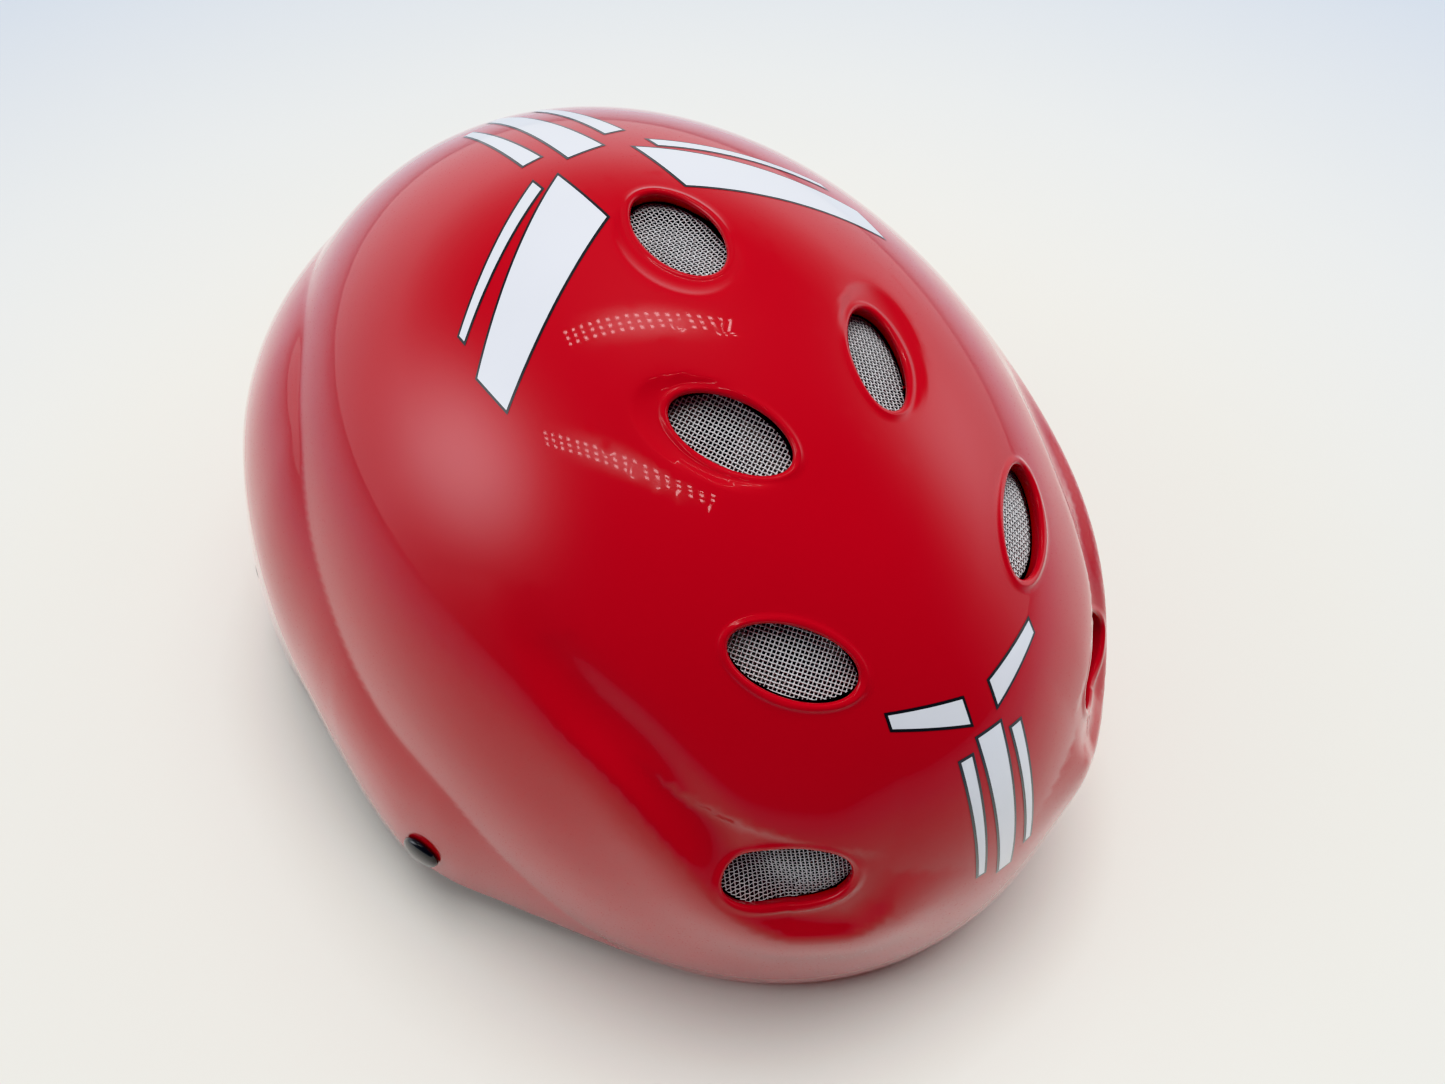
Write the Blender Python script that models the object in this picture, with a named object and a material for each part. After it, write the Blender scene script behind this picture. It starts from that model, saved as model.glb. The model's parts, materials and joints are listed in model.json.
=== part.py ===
"""Water-sports helmet: moulded shell with seven mesh-covered vents, foam liner, pads and chin harness.

Metres, +Z up, the brow faces -Y, the origin is on the ground under the middle of the shell.
The rim stands on the ground at the brow and at the nape. "left" is the -X side.
"""

import math

import bmesh
import bpy
import numpy as np
from mathutils import Matrix, Vector
from mathutils.geometry import delaunay_2d_cdt

# Driving dimensions of the dome: half of an ellipsoid that stands on a slightly tucked wall.
HALF_WIDTH = 0.101
FRONT_LENGTH = 0.1425
BACK_LENGTH = 0.1335
CROWN_RISE = 0.110
EQUATOR_HEIGHT = 0.0446
WALL_TUCK = 0.055
MEAN_RADIUS = 0.115

SHELL_THICKNESS = 0.0035
CLEARANCE = 0.0003
SHELL_SPACING = 0.0115
LINER_SPACING = 0.0145

# Curves round the rim, each a list of (angle from the nape in degrees, value).
RIM_HEIGHT = (
    (0, 0.0), (25, 0.0), (40, 0.003), (55, 0.003), (65, 0.005), (75, 0.010), (88, 0.016),
    (100, 0.015), (110, 0.012), (122, 0.008), (134, 0.004), (150, 0.0), (180, 0.0),
)
RIM_FLARE = (
    (0, 0.005), (34, 0.006), (44, 0.009), (53, 0.014), (61, 0.019), (65, 0.0195), (70, 0.018),
    (77, 0.0135), (84, 0.010), (90, 0.009), (96, 0.010), (104, 0.011), (110, 0.009),
    (117, 0.0045), (123, 0.002), (130, 0.0005), (136, 0.0), (180, 0.0),
)
# Polar angles, measured from the crown, of the crease where the skirt leaves the dome and of its ridge.
CREASE_POLAR = (
    (0, 58), (30, 54), (60, 50), (76, 55), (90, 67), (103, 79), (112, 83), (120, 92), (130, 106), (136, 112),
)
CREASE_END = 136
RIDGE_POLAR = ((0, 76), (30, 73), (60, 72), (76, 79), (88, 93), (97, 107))
RIDGE_FLARE = ((0, 0.0035), (30, 0.005), (60, 0.007), (76, 0.007), (88, 0.0075), (97, 0.010))
RIDGE_END = 97
CREASE_SOFTNESS = 1.0

# Swept ridge under each lower vent, on the left side: (azimuth, polar angle) in degrees, rear end first.
SWOOSH = (
    (206, 50), (210, 56), (217, 61), (224, 65), (230, 72),
    (235, 80), (242, 84.5), (248, 84.5), (253, 81), (255.5, 76),
)
SWOOSH_HEIGHT = 0.003
SWOOSH_LOWER_WIDTH = 0.014
SWOOSH_UPPER_WIDTH = 0.005

# Vents: plan position of the centre, plan direction of the long axis, half length and half width.
VENTS = {
    "top": ((0.0, -0.0184), (0.0, -1.0), 0.0136, 0.0078),
    "upper_left": ((-0.0194, -0.0640), (0.49, -0.87), 0.0132, 0.0063),
    "middle_left": ((-0.0310, -0.1010), (0.68, -0.74), 0.0131, 0.0066),
    "lower_left": ((-0.0460, -0.1215), (0.823, -0.568), 0.0132, 0.0086),
}
VENT_SEGMENTS = 20
MESH_MARGIN = 0.003
MESH_THICKNESS = 0.0008
MESH_GAP = 0.0014
LINER_VENT_MARGIN = 0.0045

# Foam liner, thicker at the brow and the nape than at the sides.
LINER_GAP = 0.0052
LINER_SIDE_THICKNESS = 0.010
LINER_END_THICKNESS = 0.018
LINER_RIM_HEIGHT = (
    (0, 0.008), (30, 0.009), (45, 0.026), (58, 0.042), (90, 0.046),
    (112, 0.041), (130, 0.022), (150, 0.008), (180, 0.008),
)

# Pads: azimuth and polar angle of the middle, half width, half height, thickness.
PADS = {
    "brow_pad": (270, 91, 0.100, 0.015, 0.009),
    "nape_pad": (90, 93, 0.080, 0.016, 0.009),
    "crown_pad": (90, 19, 0.034, 0.030, 0.009),
    "side_pad_left": (180, 72, 0.036, 0.016, 0.008),
    "side_pad_right": (0, 72, 0.036, 0.016, 0.008),
}
PAD_SEGMENTS = 28
PAD_RINGS = (0.35, 0.68, 0.9, 1.0)
# Exponent of the superellipse that gives a pad its rounded-rectangle outline.
PAD_CORNER = 3.2
PAD_EDGE_SHARE = 0.35

# Harness hardware.
RIVETS = {"front": (198.4, 99.2), "rear": (152.0, 99.2)}
RIVET_HOLE_RADIUS = 0.0032
RIVET_SHANK_RADIUS = 0.0022
RIVET_CAP_RADIUS = 0.0052
RIVET_CAP_HEIGHT = 0.0024
RIVET_EDGE_SHARE = 0.35
SCREW_RADIUS = 0.0048
SCREW_HEIGHT = 0.0020
SCREW_TOP_SHARE = 0.6
SCREW_EDGE_SHARE = 0.45
HANGER_PLANE = 0.0915
STRAP_AXIS_HEIGHT = 0.0158
HANGER_WIDTH = 0.0195
HANGER_TOP = 0.0065
HANGER_CORNER = 0.0030
HANGER_THICKNESS = 0.0016
HANGER_HOLE_RADIUS = 0.0034
BAR_WIDTH = 0.0024
WEBBING_WIDTH = 0.016
WEBBING_THICKNESS = 0.0012
LOOP_RADIUS = 0.0026
SLOT_LENGTH = 0.0168
SLOT_WIDTH = 0.0040
SLOT_CORNER = 0.0006
LOOP_OPEN_TURN = math.radians(50)
LOOP_NECK = 0.0065
LOOP_TAIL = 0.017
# Past its sewn end the webbing comes down to the strap's plane over this length.
LEVEL_OUT = 0.015
SEWN_GAP = 0.00025
STRAP_REACH = 0.072
STRAP_DROP_ANGLE = math.radians(8.6)
JUNCTION_Y = 0.014
TURN_RADIUS = 0.0095
STRAIGHT_STATIONS = (0.010, 0.030)

# Divider: a base plate under the crossing straps and a cam lever over them, hinged at the inner edge.
DIVIDER_REACH = 0.066
DIVIDER_LENGTH = 0.032
DIVIDER_WIDTH = 0.028
DIVIDER_PLATE = 0.0018
DIVIDER_SHIFT = 0.0025
DIVIDER_CORNER = 0.004
LUG_SPACING = 0.0204
LUG_THICKNESS = 0.0034
LUG_LENGTH = 0.0058
LUG_TAPER = 0.0008
LEVER_WIDTH = 0.0160
LEVER_PLATE = 0.0016
LEVER_LENGTH = 0.0235
LEVER_CORNER = 0.0025
KNUCKLE_GAP = 0.0006
LEVER_AXIS_REACH = 0.0155
LEVER_AXIS_UP = 0.0020
LEVER_PIN_RADIUS = 0.0010
LEVER_KNUCKLE_RADIUS = 0.0023
LEVER_HOLE_RADIUS = 0.0014

# Chin straps, buckle, keeper and chin pad.
CHIN_REACH = 0.070
CHIN_SLOPE = (-0.010, -0.022)
CHIN_LEVEL = 0.0042
CHIN_STRAP_START = JUNCTION_Y + 0.009
MALE_BAR_Y = -0.057
FEMALE_BAR_Y = -0.066
MALE_TAIL = 0.026
BUCKLE_WIDTH = 0.0235
BUCKLE_HEIGHT = 0.0072
BUCKLE_FRAME = 0.0024
BUCKLE_OVERLAP = 0.002
BUCKLE_SLOT_LENGTH = 0.0172
FEMALE_START = 0.0058
FEMALE_LENGTH = 0.0230
FEMALE_CORNER = 0.003
# Width, length and height of the cuts for the plug and for the prongs' barbs.
MOUTH = (0.0192, 0.0400, 0.0046)
WINDOWS = (0.0300, 0.0085, 0.0040)
WINDOWS_SHIFT = -0.0005
MALE_BLOCK = (0.0060, 0.0120)
MALE_BLOCK_SHARE = 0.8
MALE_CORNER = 0.002
PRONG_HEIGHT = 0.0032
# Right half of the plug's outline from the shoulder out: prong with its barb, then the centre tongue.
PRONG_OUTLINE = (
    (0.0092, 0.0110), (0.0092, 0.0190), (0.0103, 0.0200), (0.0100, 0.0240), (0.0086, 0.0280),
    (0.0068, 0.0288), (0.0060, 0.0278), (0.0064, 0.0240), (0.0066, 0.0150), (0.0052, 0.0132),
    (0.0034, 0.0132), (0.0022, 0.0150), (0.0020, 0.0240), (0.0010, 0.0256),
)
# Sleeves round a strap: outer and inner width and height, place and length along the strap.
KEEPER_OUTER = (0.0204, 0.0064)
KEEPER_INNER = (0.0174, 0.0036)
KEEPER_CORNER = 0.0014
KEEPER_Y = -0.040
KEEPER_LENGTH = 0.0070
CHIN_PAD_OUTER = (0.0262, 0.0078)
CHIN_PAD_INNER = (0.0172, 0.0038)
CHIN_PAD_CORNER = 0.0035
CHIN_PAD_Y = -0.042
CHIN_PAD_LENGTH = 0.037
SHARP_CORNER = 1e-5


def clear_scene():
    for obj in list(bpy.data.objects):
        bpy.data.objects.remove(obj, do_unlink=True)


def material(name, colour, roughness, metallic=0.0):
    made = bpy.data.materials.new(name)
    made.use_nodes = True
    shader = made.node_tree.nodes["Principled BSDF"]
    shader.inputs["Base Color"].default_value = (*colour, 1.0)
    shader.inputs["Roughness"].default_value = roughness
    shader.inputs["Metallic"].default_value = metallic
    return made


def solid(name, points, faces, finish):
    """An object from points and faces, shaded smooth except across edges over 35 degrees."""
    mesh = bpy.data.meshes.new(name)
    corners = [tuple(map(float, point)) for point in points]
    mesh.from_pydata(corners, [], [tuple(map(int, face)) for face in faces])
    mesh.materials.append(finish)
    mesh.shade_smooth()
    mesh.set_sharp_from_angle(angle=math.radians(35))
    obj = bpy.data.objects.new(name, mesh)
    bpy.context.scene.collection.objects.link(obj)
    return obj


def curve_value(keys, at):
    """A smooth curve through (position, value) keys that never overshoots them, constant beyond the ends."""
    x = np.array([key[0] for key in keys], float)
    y = np.array([key[1] for key in keys], float)
    step = np.diff(x)
    slope = np.diff(y) / step
    tangent = np.zeros(len(x))
    before, after = slope[:-1], slope[1:]
    same_way = before * after > 0
    tangent[1:-1][same_way] = 2 * before[same_way] * after[same_way] / (before + after)[same_way]
    at = np.clip(np.asarray(at, float), x[0], x[-1])
    i = np.clip(np.searchsorted(x, at, side="right") - 1, 0, len(x) - 2)
    t = (at - x[i]) / step[i]
    rise = y[i] + (3 * t**2 - 2 * t**3) * (y[i + 1] - y[i])
    return rise + step[i] * ((t**3 - 2 * t**2 + t) * tangent[i] + (t**3 - t**2) * tangent[i + 1])


def direction(azimuth, polar):
    """Unit vectors for azimuths and polar angles in degrees."""
    azimuth, polar = np.radians(azimuth), np.radians(polar)
    return np.stack([np.sin(polar) * np.cos(azimuth), np.sin(polar) * np.sin(azimuth), np.cos(polar)], -1)


def angles(unit):
    """Azimuth and polar angle in degrees of unit vectors."""
    azimuth = np.degrees(np.arctan2(unit[..., 1], unit[..., 0])) % 360
    return azimuth, np.degrees(np.arccos(np.clip(unit[..., 2], -1, 1)))


def angle_from_nape(azimuth):
    return np.abs((np.asarray(azimuth) - 90 + 180) % 360 - 180)


def dome(azimuth, polar):
    """Points and outward normals of the plain dome and of the wall below it."""
    azimuth, polar = np.radians(azimuth), np.radians(polar)
    length = np.where(np.sin(azimuth) < 0, FRONT_LENGTH, BACK_LENGTH)
    drop = np.maximum(polar - np.pi / 2, 0) * CROWN_RISE
    tuck = 1 - WALL_TUCK * (drop / EQUATOR_HEIGHT) ** 2
    reach = np.where(drop > 0, tuck, np.sin(polar))
    height = np.where(drop > 0, -drop, CROWN_RISE * np.cos(polar))
    x, y = reach * np.cos(azimuth), reach * np.sin(azimuth)
    points = np.stack([HALF_WIDTH * x, length * y, EQUATOR_HEIGHT + height], -1)
    tuck_slope = -2 * WALL_TUCK * drop / EQUATOR_HEIGHT**2 * tuck
    upward = np.where(drop > 0, tuck_slope, height / CROWN_RISE**2)
    normals = np.stack([x / HALF_WIDTH, y / length, upward], -1)
    return points, normals / np.linalg.norm(normals, axis=-1, keepdims=True)


def rim_polar(azimuth, height_keys=RIM_HEIGHT):
    """Polar angle at which the wall reaches the height that the keys give."""
    height = curve_value(height_keys, angle_from_nape(azimuth))
    return 90 + np.degrees((EQUATOR_HEIGHT - height) / CROWN_RISE)


def skirt(azimuth, polar):
    """How far the skirt stands out from the dome: crease, shelf, ridge, then the flare down to the rim."""
    around = angle_from_nape(azimuth)
    crease = curve_value(CREASE_POLAR, around)
    rim = rim_polar(azimuth)
    rim_flare = curve_value(RIM_FLARE, around)
    ridge = np.where(around < RIDGE_END, np.minimum(curve_value(RIDGE_POLAR, around), rim), rim)
    ridge_flare = np.where(around < RIDGE_END, curve_value(RIDGE_FLARE, around), rim_flare)
    past = polar - crease
    past = 0.5 * (past + np.sqrt(past**2 + CREASE_SOFTNESS**2))
    shelf = 1 - (1 - np.clip(past / np.maximum(ridge - crease, 1), 0, 1)) ** 1.4
    flare = np.clip((polar - ridge) / np.maximum(rim - ridge, 1), 0, 1) ** 1.6
    return np.where(around < CREASE_END, shelf * ridge_flare + flare * (rim_flare - ridge_flare), 0)


def swoosh_curve(samples=60):
    """Unit vectors along the swept ridge of the left side."""
    along = np.linspace(0, len(SWOOSH) - 1, samples)
    azimuth = curve_value([(i, key[0]) for i, key in enumerate(SWOOSH)], along)
    polar = curve_value([(i, key[1]) for i, key in enumerate(SWOOSH)], along)
    return direction(azimuth, polar)


def swoosh(azimuth, polar):
    """Height of the swept ridge: gentle on its lower side, steep on the vent's side, fading at both ends."""
    curve = swoosh_curve()
    unit = direction(azimuth, polar)
    unit[..., 0] = -np.abs(unit[..., 0])
    shape = unit.shape[:-1]
    unit = unit.reshape(-1, 3)
    nearest = np.argmax(unit @ curve.T, axis=1)
    tangent = np.gradient(curve, axis=0)[nearest]
    away = (unit - curve[nearest]) * MEAN_RADIUS
    distance = np.linalg.norm(away, axis=1)
    below = np.einsum("ij,ij->i", np.cross(tangent, away), unit) < 0
    width = np.where(below, SWOOSH_LOWER_WIDTH, SWOOSH_UPPER_WIDTH)
    along = nearest / (len(curve) - 1)
    fade = np.clip(along / 0.45, 0, 1) * np.clip((1 - along) / 0.15, 0, 1)
    return (SWOOSH_HEIGHT * fade * np.exp(-((distance / width) ** 2))).reshape(shape)


def shell_surface(azimuth, polar, depth=0.0):
    """Points at a depth under the outer face of the shell."""
    points, normals = dome(azimuth, polar)
    lift = skirt(azimuth, polar) + swoosh(azimuth, polar) - depth
    return points + normals * lift[..., None]


def shell_normal(azimuth, polar, step=0.5):
    """Outward normal of the shell's outer face at one place, skirt and ridge included."""
    around = np.array([azimuth + step, azimuth - step, azimuth, azimuth])
    down = np.array([polar, polar, polar + step, polar - step])
    east, west, south, north = shell_surface(around, down)
    normal = np.cross(south - north, east - west)
    return normal / np.linalg.norm(normal)


def liner_surface(azimuth, polar, depth=0.0):
    """Points at a depth under the outer face of the liner, which follows the plain dome."""
    points, normals = dome(azimuth, polar)
    return points - normals * (LINER_GAP + depth)[..., None]


def liner_thickness(azimuth, polar):
    """Foam thickness, which grows towards the brow and the nape."""
    unit = direction(azimuth, polar)
    return LINER_SIDE_THICKNESS + (LINER_END_THICKNESS - LINER_SIDE_THICKNESS) * unit[..., 1] ** 2


def to_plane(unit):
    """Stereographic plane, in which equal angles stay equal, so triangles keep their shape."""
    return unit[..., :2] / (1 + unit[..., 2:3])


def from_plane(plane):
    square = np.sum(plane**2, axis=-1, keepdims=True)
    return np.concatenate([2 * plane, 1 - square], -1) / (1 + square)


def inside(loop, points):
    """Whether each point of the plane lies inside the closed loop."""
    found = np.zeros(len(points), bool)
    for start, end in zip(loop, np.roll(loop, -1, axis=0)):
        crosses = (start[1] > points[:, 1]) != (end[1] > points[:, 1])
        rise = end[1] - start[1] if end[1] != start[1] else 1.0
        reach = start[0] + (points[:, 1] - start[1]) * (end[0] - start[0]) / rise
        found ^= crosses & (points[:, 0] < reach)
    return found


def triangulate(loops, chains=(), extra=()):
    """Points and triangles of the plane inside the first loop and outside the others."""
    points, edges = [], []
    for path, closed in [(loop, True) for loop in loops] + [(chain, False) for chain in chains]:
        first, count = len(points), len(path)
        points.extend(path)
        edges.extend((first + i, first + (i + 1) % count) for i in range(count if closed else count - 1))
    points.extend(extra)
    vectors = [Vector((float(x), float(y))) for x, y in points]
    found, _, faces, origins, _, _ = delaunay_2d_cdt(vectors, edges, [], 0, 1e-7)
    plane = np.array([tuple(point) for point in found])
    faces = np.array(faces)
    middle = plane[faces].mean(axis=1)
    keep = inside(loops[0], middle)
    for hole in loops[1:]:
        keep &= ~inside(hole, middle)
    on_rim = np.array([any(i < len(loops[0]) for i in origin) for origin in origins])
    return plane, faces[keep], on_rim


def layered(name, faces, outer, inner, finish):
    """A closed solid between two layers of points with the same triangles, walled along every open edge."""
    count = len(outer)
    directed = {(a, b) for face in faces for a, b in zip(face, np.roll(face, -1))}
    walls = [(b, a, a + count, b + count) for a, b in directed if (b, a) not in directed]
    under = [tuple(corner + count for corner in reversed(face)) for face in faces]
    return solid(name, np.concatenate([outer, inner]), [*map(tuple, faces), *under, *sorted(walls)], finish)


def ring_points(spacing, rim, hurdles):
    """Unit vectors in rings about the crown, evenly spaced, clear of the rim and of the hurdle points."""
    rings = []
    step = math.degrees(spacing / MEAN_RADIUS)
    for index in range(int(120 / step)):
        polar = index * step
        round_crown = 2 * math.pi * math.sin(math.radians(min(polar, 90))) * MEAN_RADIUS
        count = max(1, round(round_crown / spacing))
        azimuth = (np.arange(count) + 0.5 * (index % 2)) * 360 / count
        azimuth = azimuth[polar < rim(azimuth) - 0.6 * step]
        rings.append(direction(azimuth, np.full(len(azimuth), polar)))
    unit = np.concatenate(rings)
    nearest = (unit @ np.concatenate(hurdles).T).max(axis=1)
    return unit[nearest < math.cos(0.62 * spacing / MEAN_RADIUS)]


def tangent_frame(azimuth, polar, heading):
    """Point on the dome and its two tangent axes, the first of them along a plan heading."""
    point, normal = dome(np.float64(azimuth), np.float64(polar))
    rise = -(normal[0] * heading[0] + normal[1] * heading[1]) / normal[2]
    first = np.array([*heading, rise])
    first /= np.linalg.norm(first)
    return point, first, np.cross(normal, first)


def dome_direction(point):
    """Unit vector of the dome's own angles for a point near the dome."""
    length = np.where(point[..., 1] < 0, FRONT_LENGTH, BACK_LENGTH)
    scale = np.stack([np.full_like(length, HALF_WIDTH), length, np.full_like(length, CROWN_RISE)], -1)
    unit = (point - np.array([0, 0, EQUATOR_HEIGHT])) / scale
    return unit / np.linalg.norm(unit, axis=-1, keepdims=True)


def ellipse_on_dome(centre, heading, half_length, half_width, segments):
    """Unit vectors round an ellipse laid on the dome."""
    plan = np.array(centre) / (HALF_WIDTH, FRONT_LENGTH)
    azimuth, polar = angles(np.array([*plan, math.sqrt(1 - plan @ plan)]))
    point, long_axis, short_axis = tangent_frame(azimuth, polar, heading)
    turn = np.arange(segments) * 2 * math.pi / segments
    offset = half_length * np.cos(turn)[:, None] * long_axis + half_width * np.sin(turn)[:, None] * short_axis
    return dome_direction(point + offset)


def vents():
    """All vents by name, those of the left side mirrored to the right."""
    found = dict(VENTS)
    for name, (centre, heading, half_length, half_width) in VENTS.items():
        if name.endswith("_left"):
            mirrored = ((-centre[0], centre[1]), (-heading[0], heading[1]), half_length, half_width)
            found[name.replace("_left", "_right")] = mirrored
    return found


def vent_loops(margin):
    return [
        ellipse_on_dome(centre, heading, half_length + margin, half_width + margin, VENT_SEGMENTS)
        for centre, heading, half_length, half_width in vents().values()
    ]


def rivet_places():
    """Name, side sign, azimuth and polar angle of each rivet."""
    for end, (azimuth, polar) in RIVETS.items():
        yield f"{end}_left", -1, azimuth, polar
        yield f"{end}_right", 1, (180 - azimuth) % 360, polar


def rivet_hole_loop(azimuth, polar, segments=12):
    turn = np.arange(segments) * 2 * math.pi / segments
    polar_turn = math.degrees(RIVET_HOLE_RADIUS / CROWN_RISE)
    azimuth_turn = math.degrees(RIVET_HOLE_RADIUS / HALF_WIDTH)
    return direction(azimuth + azimuth_turn * np.cos(turn), polar - polar_turn * np.sin(turn))


def closed_rim(spacing, height_keys=RIM_HEIGHT):
    count = 2 * round(math.pi * 0.5 * (HALF_WIDTH + FRONT_LENGTH) / spacing)
    azimuth = np.arange(count) * 360 / count
    return direction(azimuth, rim_polar(azimuth, height_keys))


def crease_chain(spacing):
    """Unit vectors along the skirt's crease, from one side of the brow round the nape to the other."""
    end = CREASE_END - 10
    around = np.linspace(-end, end, round(2 * math.radians(end) * MEAN_RADIUS / spacing))
    return direction(90 + around, curve_value(CREASE_POLAR, np.abs(around)))


def mirrored(unit):
    return unit * np.array([-1, 1, 1])


def without(points, loops):
    """The points of the plane that lie in none of the loops."""
    for loop in loops:
        points = points[~inside(loop, points)]
    return points


def make_outer_shell(finish):
    rim = closed_rim(SHELL_SPACING)
    holes = vent_loops(0.0) + [rivet_hole_loop(azimuth, polar) for _, _, azimuth, polar in rivet_places()]
    ridge = swoosh_curve(14)[1:]
    chains = [crease_chain(SHELL_SPACING), ridge, mirrored(ridge)]
    hole_planes = [to_plane(hole) for hole in holes]
    fill = ring_points(SHELL_SPACING, rim_polar, [rim, *holes, *chains])
    extra = without(to_plane(fill), hole_planes)
    chain_planes = [to_plane(chain) for chain in chains]
    plane, faces, on_rim = triangulate([to_plane(rim), *hole_planes], chain_planes, extra)
    azimuth, polar = angles(from_plane(plane))
    outer = shell_surface(azimuth, polar)
    inner = shell_surface(azimuth, polar, SHELL_THICKNESS)
    # The rim's edge is level, so the shell stands on a flat face.
    outer[on_rim, 2] = curve_value(RIM_HEIGHT, angle_from_nape(azimuth[on_rim]))
    inner[on_rim, 2] = outer[on_rim, 2]
    return layered("outer_shell", faces, outer, inner, finish)


def make_foam_liner(finish):
    def rim_of(azimuth):
        return rim_polar(azimuth, LINER_RIM_HEIGHT)

    rim = closed_rim(LINER_SPACING, LINER_RIM_HEIGHT)
    holes = vent_loops(LINER_VENT_MARGIN)
    hole_planes = [to_plane(hole) for hole in holes]
    extra = without(to_plane(ring_points(LINER_SPACING, rim_of, [rim, *holes])), hole_planes)
    plane, faces, _ = triangulate([to_plane(rim), *hole_planes], (), extra)
    azimuth, polar = angles(from_plane(plane))
    outer = liner_surface(azimuth, polar, np.zeros(len(polar)))
    inner = liner_surface(azimuth, polar, liner_thickness(azimuth, polar))
    return layered("foam_liner", faces, outer, inner, finish)


def make_vent_meshes(finish):
    """A thin plate under each vent, a little larger than it."""
    depth = SHELL_THICKNESS + MESH_GAP
    for name, (centre, heading, half_length, half_width) in vents().items():
        sizes = (half_length + MESH_MARGIN, half_width + MESH_MARGIN)
        outline = ellipse_on_dome(centre, heading, *sizes, VENT_SEGMENTS)
        middle = ellipse_on_dome(centre, heading, sizes[0] / 2, sizes[1] / 2, VENT_SEGMENTS // 2)
        plane, faces, _ = triangulate([to_plane(outline)], (), to_plane(middle))
        azimuth, polar = angles(from_plane(plane))
        outer = shell_surface(azimuth, polar, depth)
        inner = shell_surface(azimuth, polar, depth + MESH_THICKNESS)
        layered(f"vent_mesh_{name}", faces, outer, inner, finish)


def pad_grid(azimuth, polar, half_width, half_height):
    """Directions in rings over a pad, and the share of its full crown that each has."""
    middle = direction(azimuth, polar)
    across = direction(azimuth + 90, 90)
    up = np.cross(middle, across)
    turn = np.arange(PAD_SEGMENTS) * 2 * math.pi / PAD_SEGMENTS
    cosine, sine = np.cos(turn), np.sin(turn)
    bulge = (np.abs(cosine) ** PAD_CORNER + np.abs(sine) ** PAD_CORNER) ** (-1 / PAD_CORNER)
    unit, crown = [middle[None]], [1.0]
    for radius in PAD_RINGS:
        u = radius * half_width * cosine * bulge / MEAN_RADIUS
        v = radius * half_height * sine * bulge / MEAN_RADIUS
        unit.append(middle + u[:, None] * across + v[:, None] * up)
        crown.extend([math.sqrt(1 - radius**4)] * PAD_SEGMENTS)
    unit = np.concatenate(unit)
    return unit / np.linalg.norm(unit, axis=1, keepdims=True), np.array(crown)


def pad_faces():
    """Triangles of a pad's rings, the first of them a fan round the middle point."""
    count = PAD_SEGMENTS
    faces = [(0, 1 + i, 1 + (i + 1) % count) for i in range(count)]
    for ring in range(len(PAD_RINGS) - 1):
        first = 1 + ring * count
        for i in range(count):
            j = (i + 1) % count
            faces.append((first + i, first + count + i, first + count + j))
            faces.append((first + i, first + count + j, first + j))
    return np.array(faces)


def make_pads(finish):
    """Pads that follow the liner's inner face, with a crowned side towards the head."""
    for name, (azimuth, polar, half_width, half_height, thickness) in PADS.items():
        unit, crown = pad_grid(azimuth, polar, half_width, half_height)
        azimuths, polars = angles(unit)
        base = liner_thickness(azimuths, polars) + 2 * CLEARANCE
        share = PAD_EDGE_SHARE + (1 - PAD_EDGE_SHARE) * crown
        outer = liner_surface(azimuths, polars, base)
        inner = liner_surface(azimuths, polars, base + thickness * share)
        faces = pad_faces()
        corners = outer[faces[0]]
        turned_in = np.dot(np.cross(corners[1] - corners[0], corners[2] - corners[0]), unit[0]) < 0
        layered(name, faces[:, ::-1] if turned_in else faces, outer, inner, finish)


def rounded_box(width, length, radius, segments=4):
    """Outline of a rectangle with round corners, anticlockwise, centred on zero."""
    outline = []
    for quarter, (sx, sy) in enumerate(((1, 1), (-1, 1), (-1, -1), (1, -1))):
        for i in range(segments + 1):
            turn = math.pi / 2 * (quarter + i / segments)
            x = sx * (width / 2 - radius) + radius * math.cos(turn)
            y = sy * (length / 2 - radius) + radius * math.sin(turn)
            outline.append((x, y))
    return np.array(outline)


def circle(radius, centre=(0.0, 0.0), segments=16):
    turn = np.arange(segments) * 2 * math.pi / segments
    return np.stack([centre[0] + radius * np.cos(turn), centre[1] + radius * np.sin(turn)], -1)


def plate(name, outline, holes, bottom, top, finish):
    """A flat plate in the XY plane with holes, between two heights."""
    loops = [np.array(outline), *map(np.array, holes)]
    plane, faces, _ = triangulate(loops)
    corners = plane[faces]
    first, second = corners[:, 1] - corners[:, 0], corners[:, 2] - corners[:, 0]
    clockwise = first[:, 0] * second[:, 1] - first[:, 1] * second[:, 0] < 0
    faces[clockwise] = faces[clockwise][:, ::-1]
    upper = np.column_stack([plane, np.full(len(plane), top)])
    lower = np.column_stack([plane, np.full(len(plane), bottom)])
    return layered(name, faces, upper, lower, finish)


def turned(name, profile, finish, segments=24):
    """A solid of revolution about Z from (radius, height) points, from the axis round to it, top first."""
    points, faces = [(0, 0, profile[0][1])], []
    for radius, height in profile[1:-1]:
        for i in range(segments):
            turn = 2 * math.pi * i / segments
            points.append((radius * math.cos(turn), radius * math.sin(turn), height))
    points.append((0, 0, profile[-1][1]))
    last = len(points) - 1
    for i in range(segments):
        j = (i + 1) % segments
        faces.append((0, 1 + i, 1 + j))
        faces.append((last, last - segments + j, last - segments + i))
        for ring in range(len(profile) - 3):
            a, b = 1 + ring * segments, 1 + (ring + 1) * segments
            faces.append((a + i, b + i, b + j, a + j))
    return solid(name, points, faces, finish)


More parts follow.
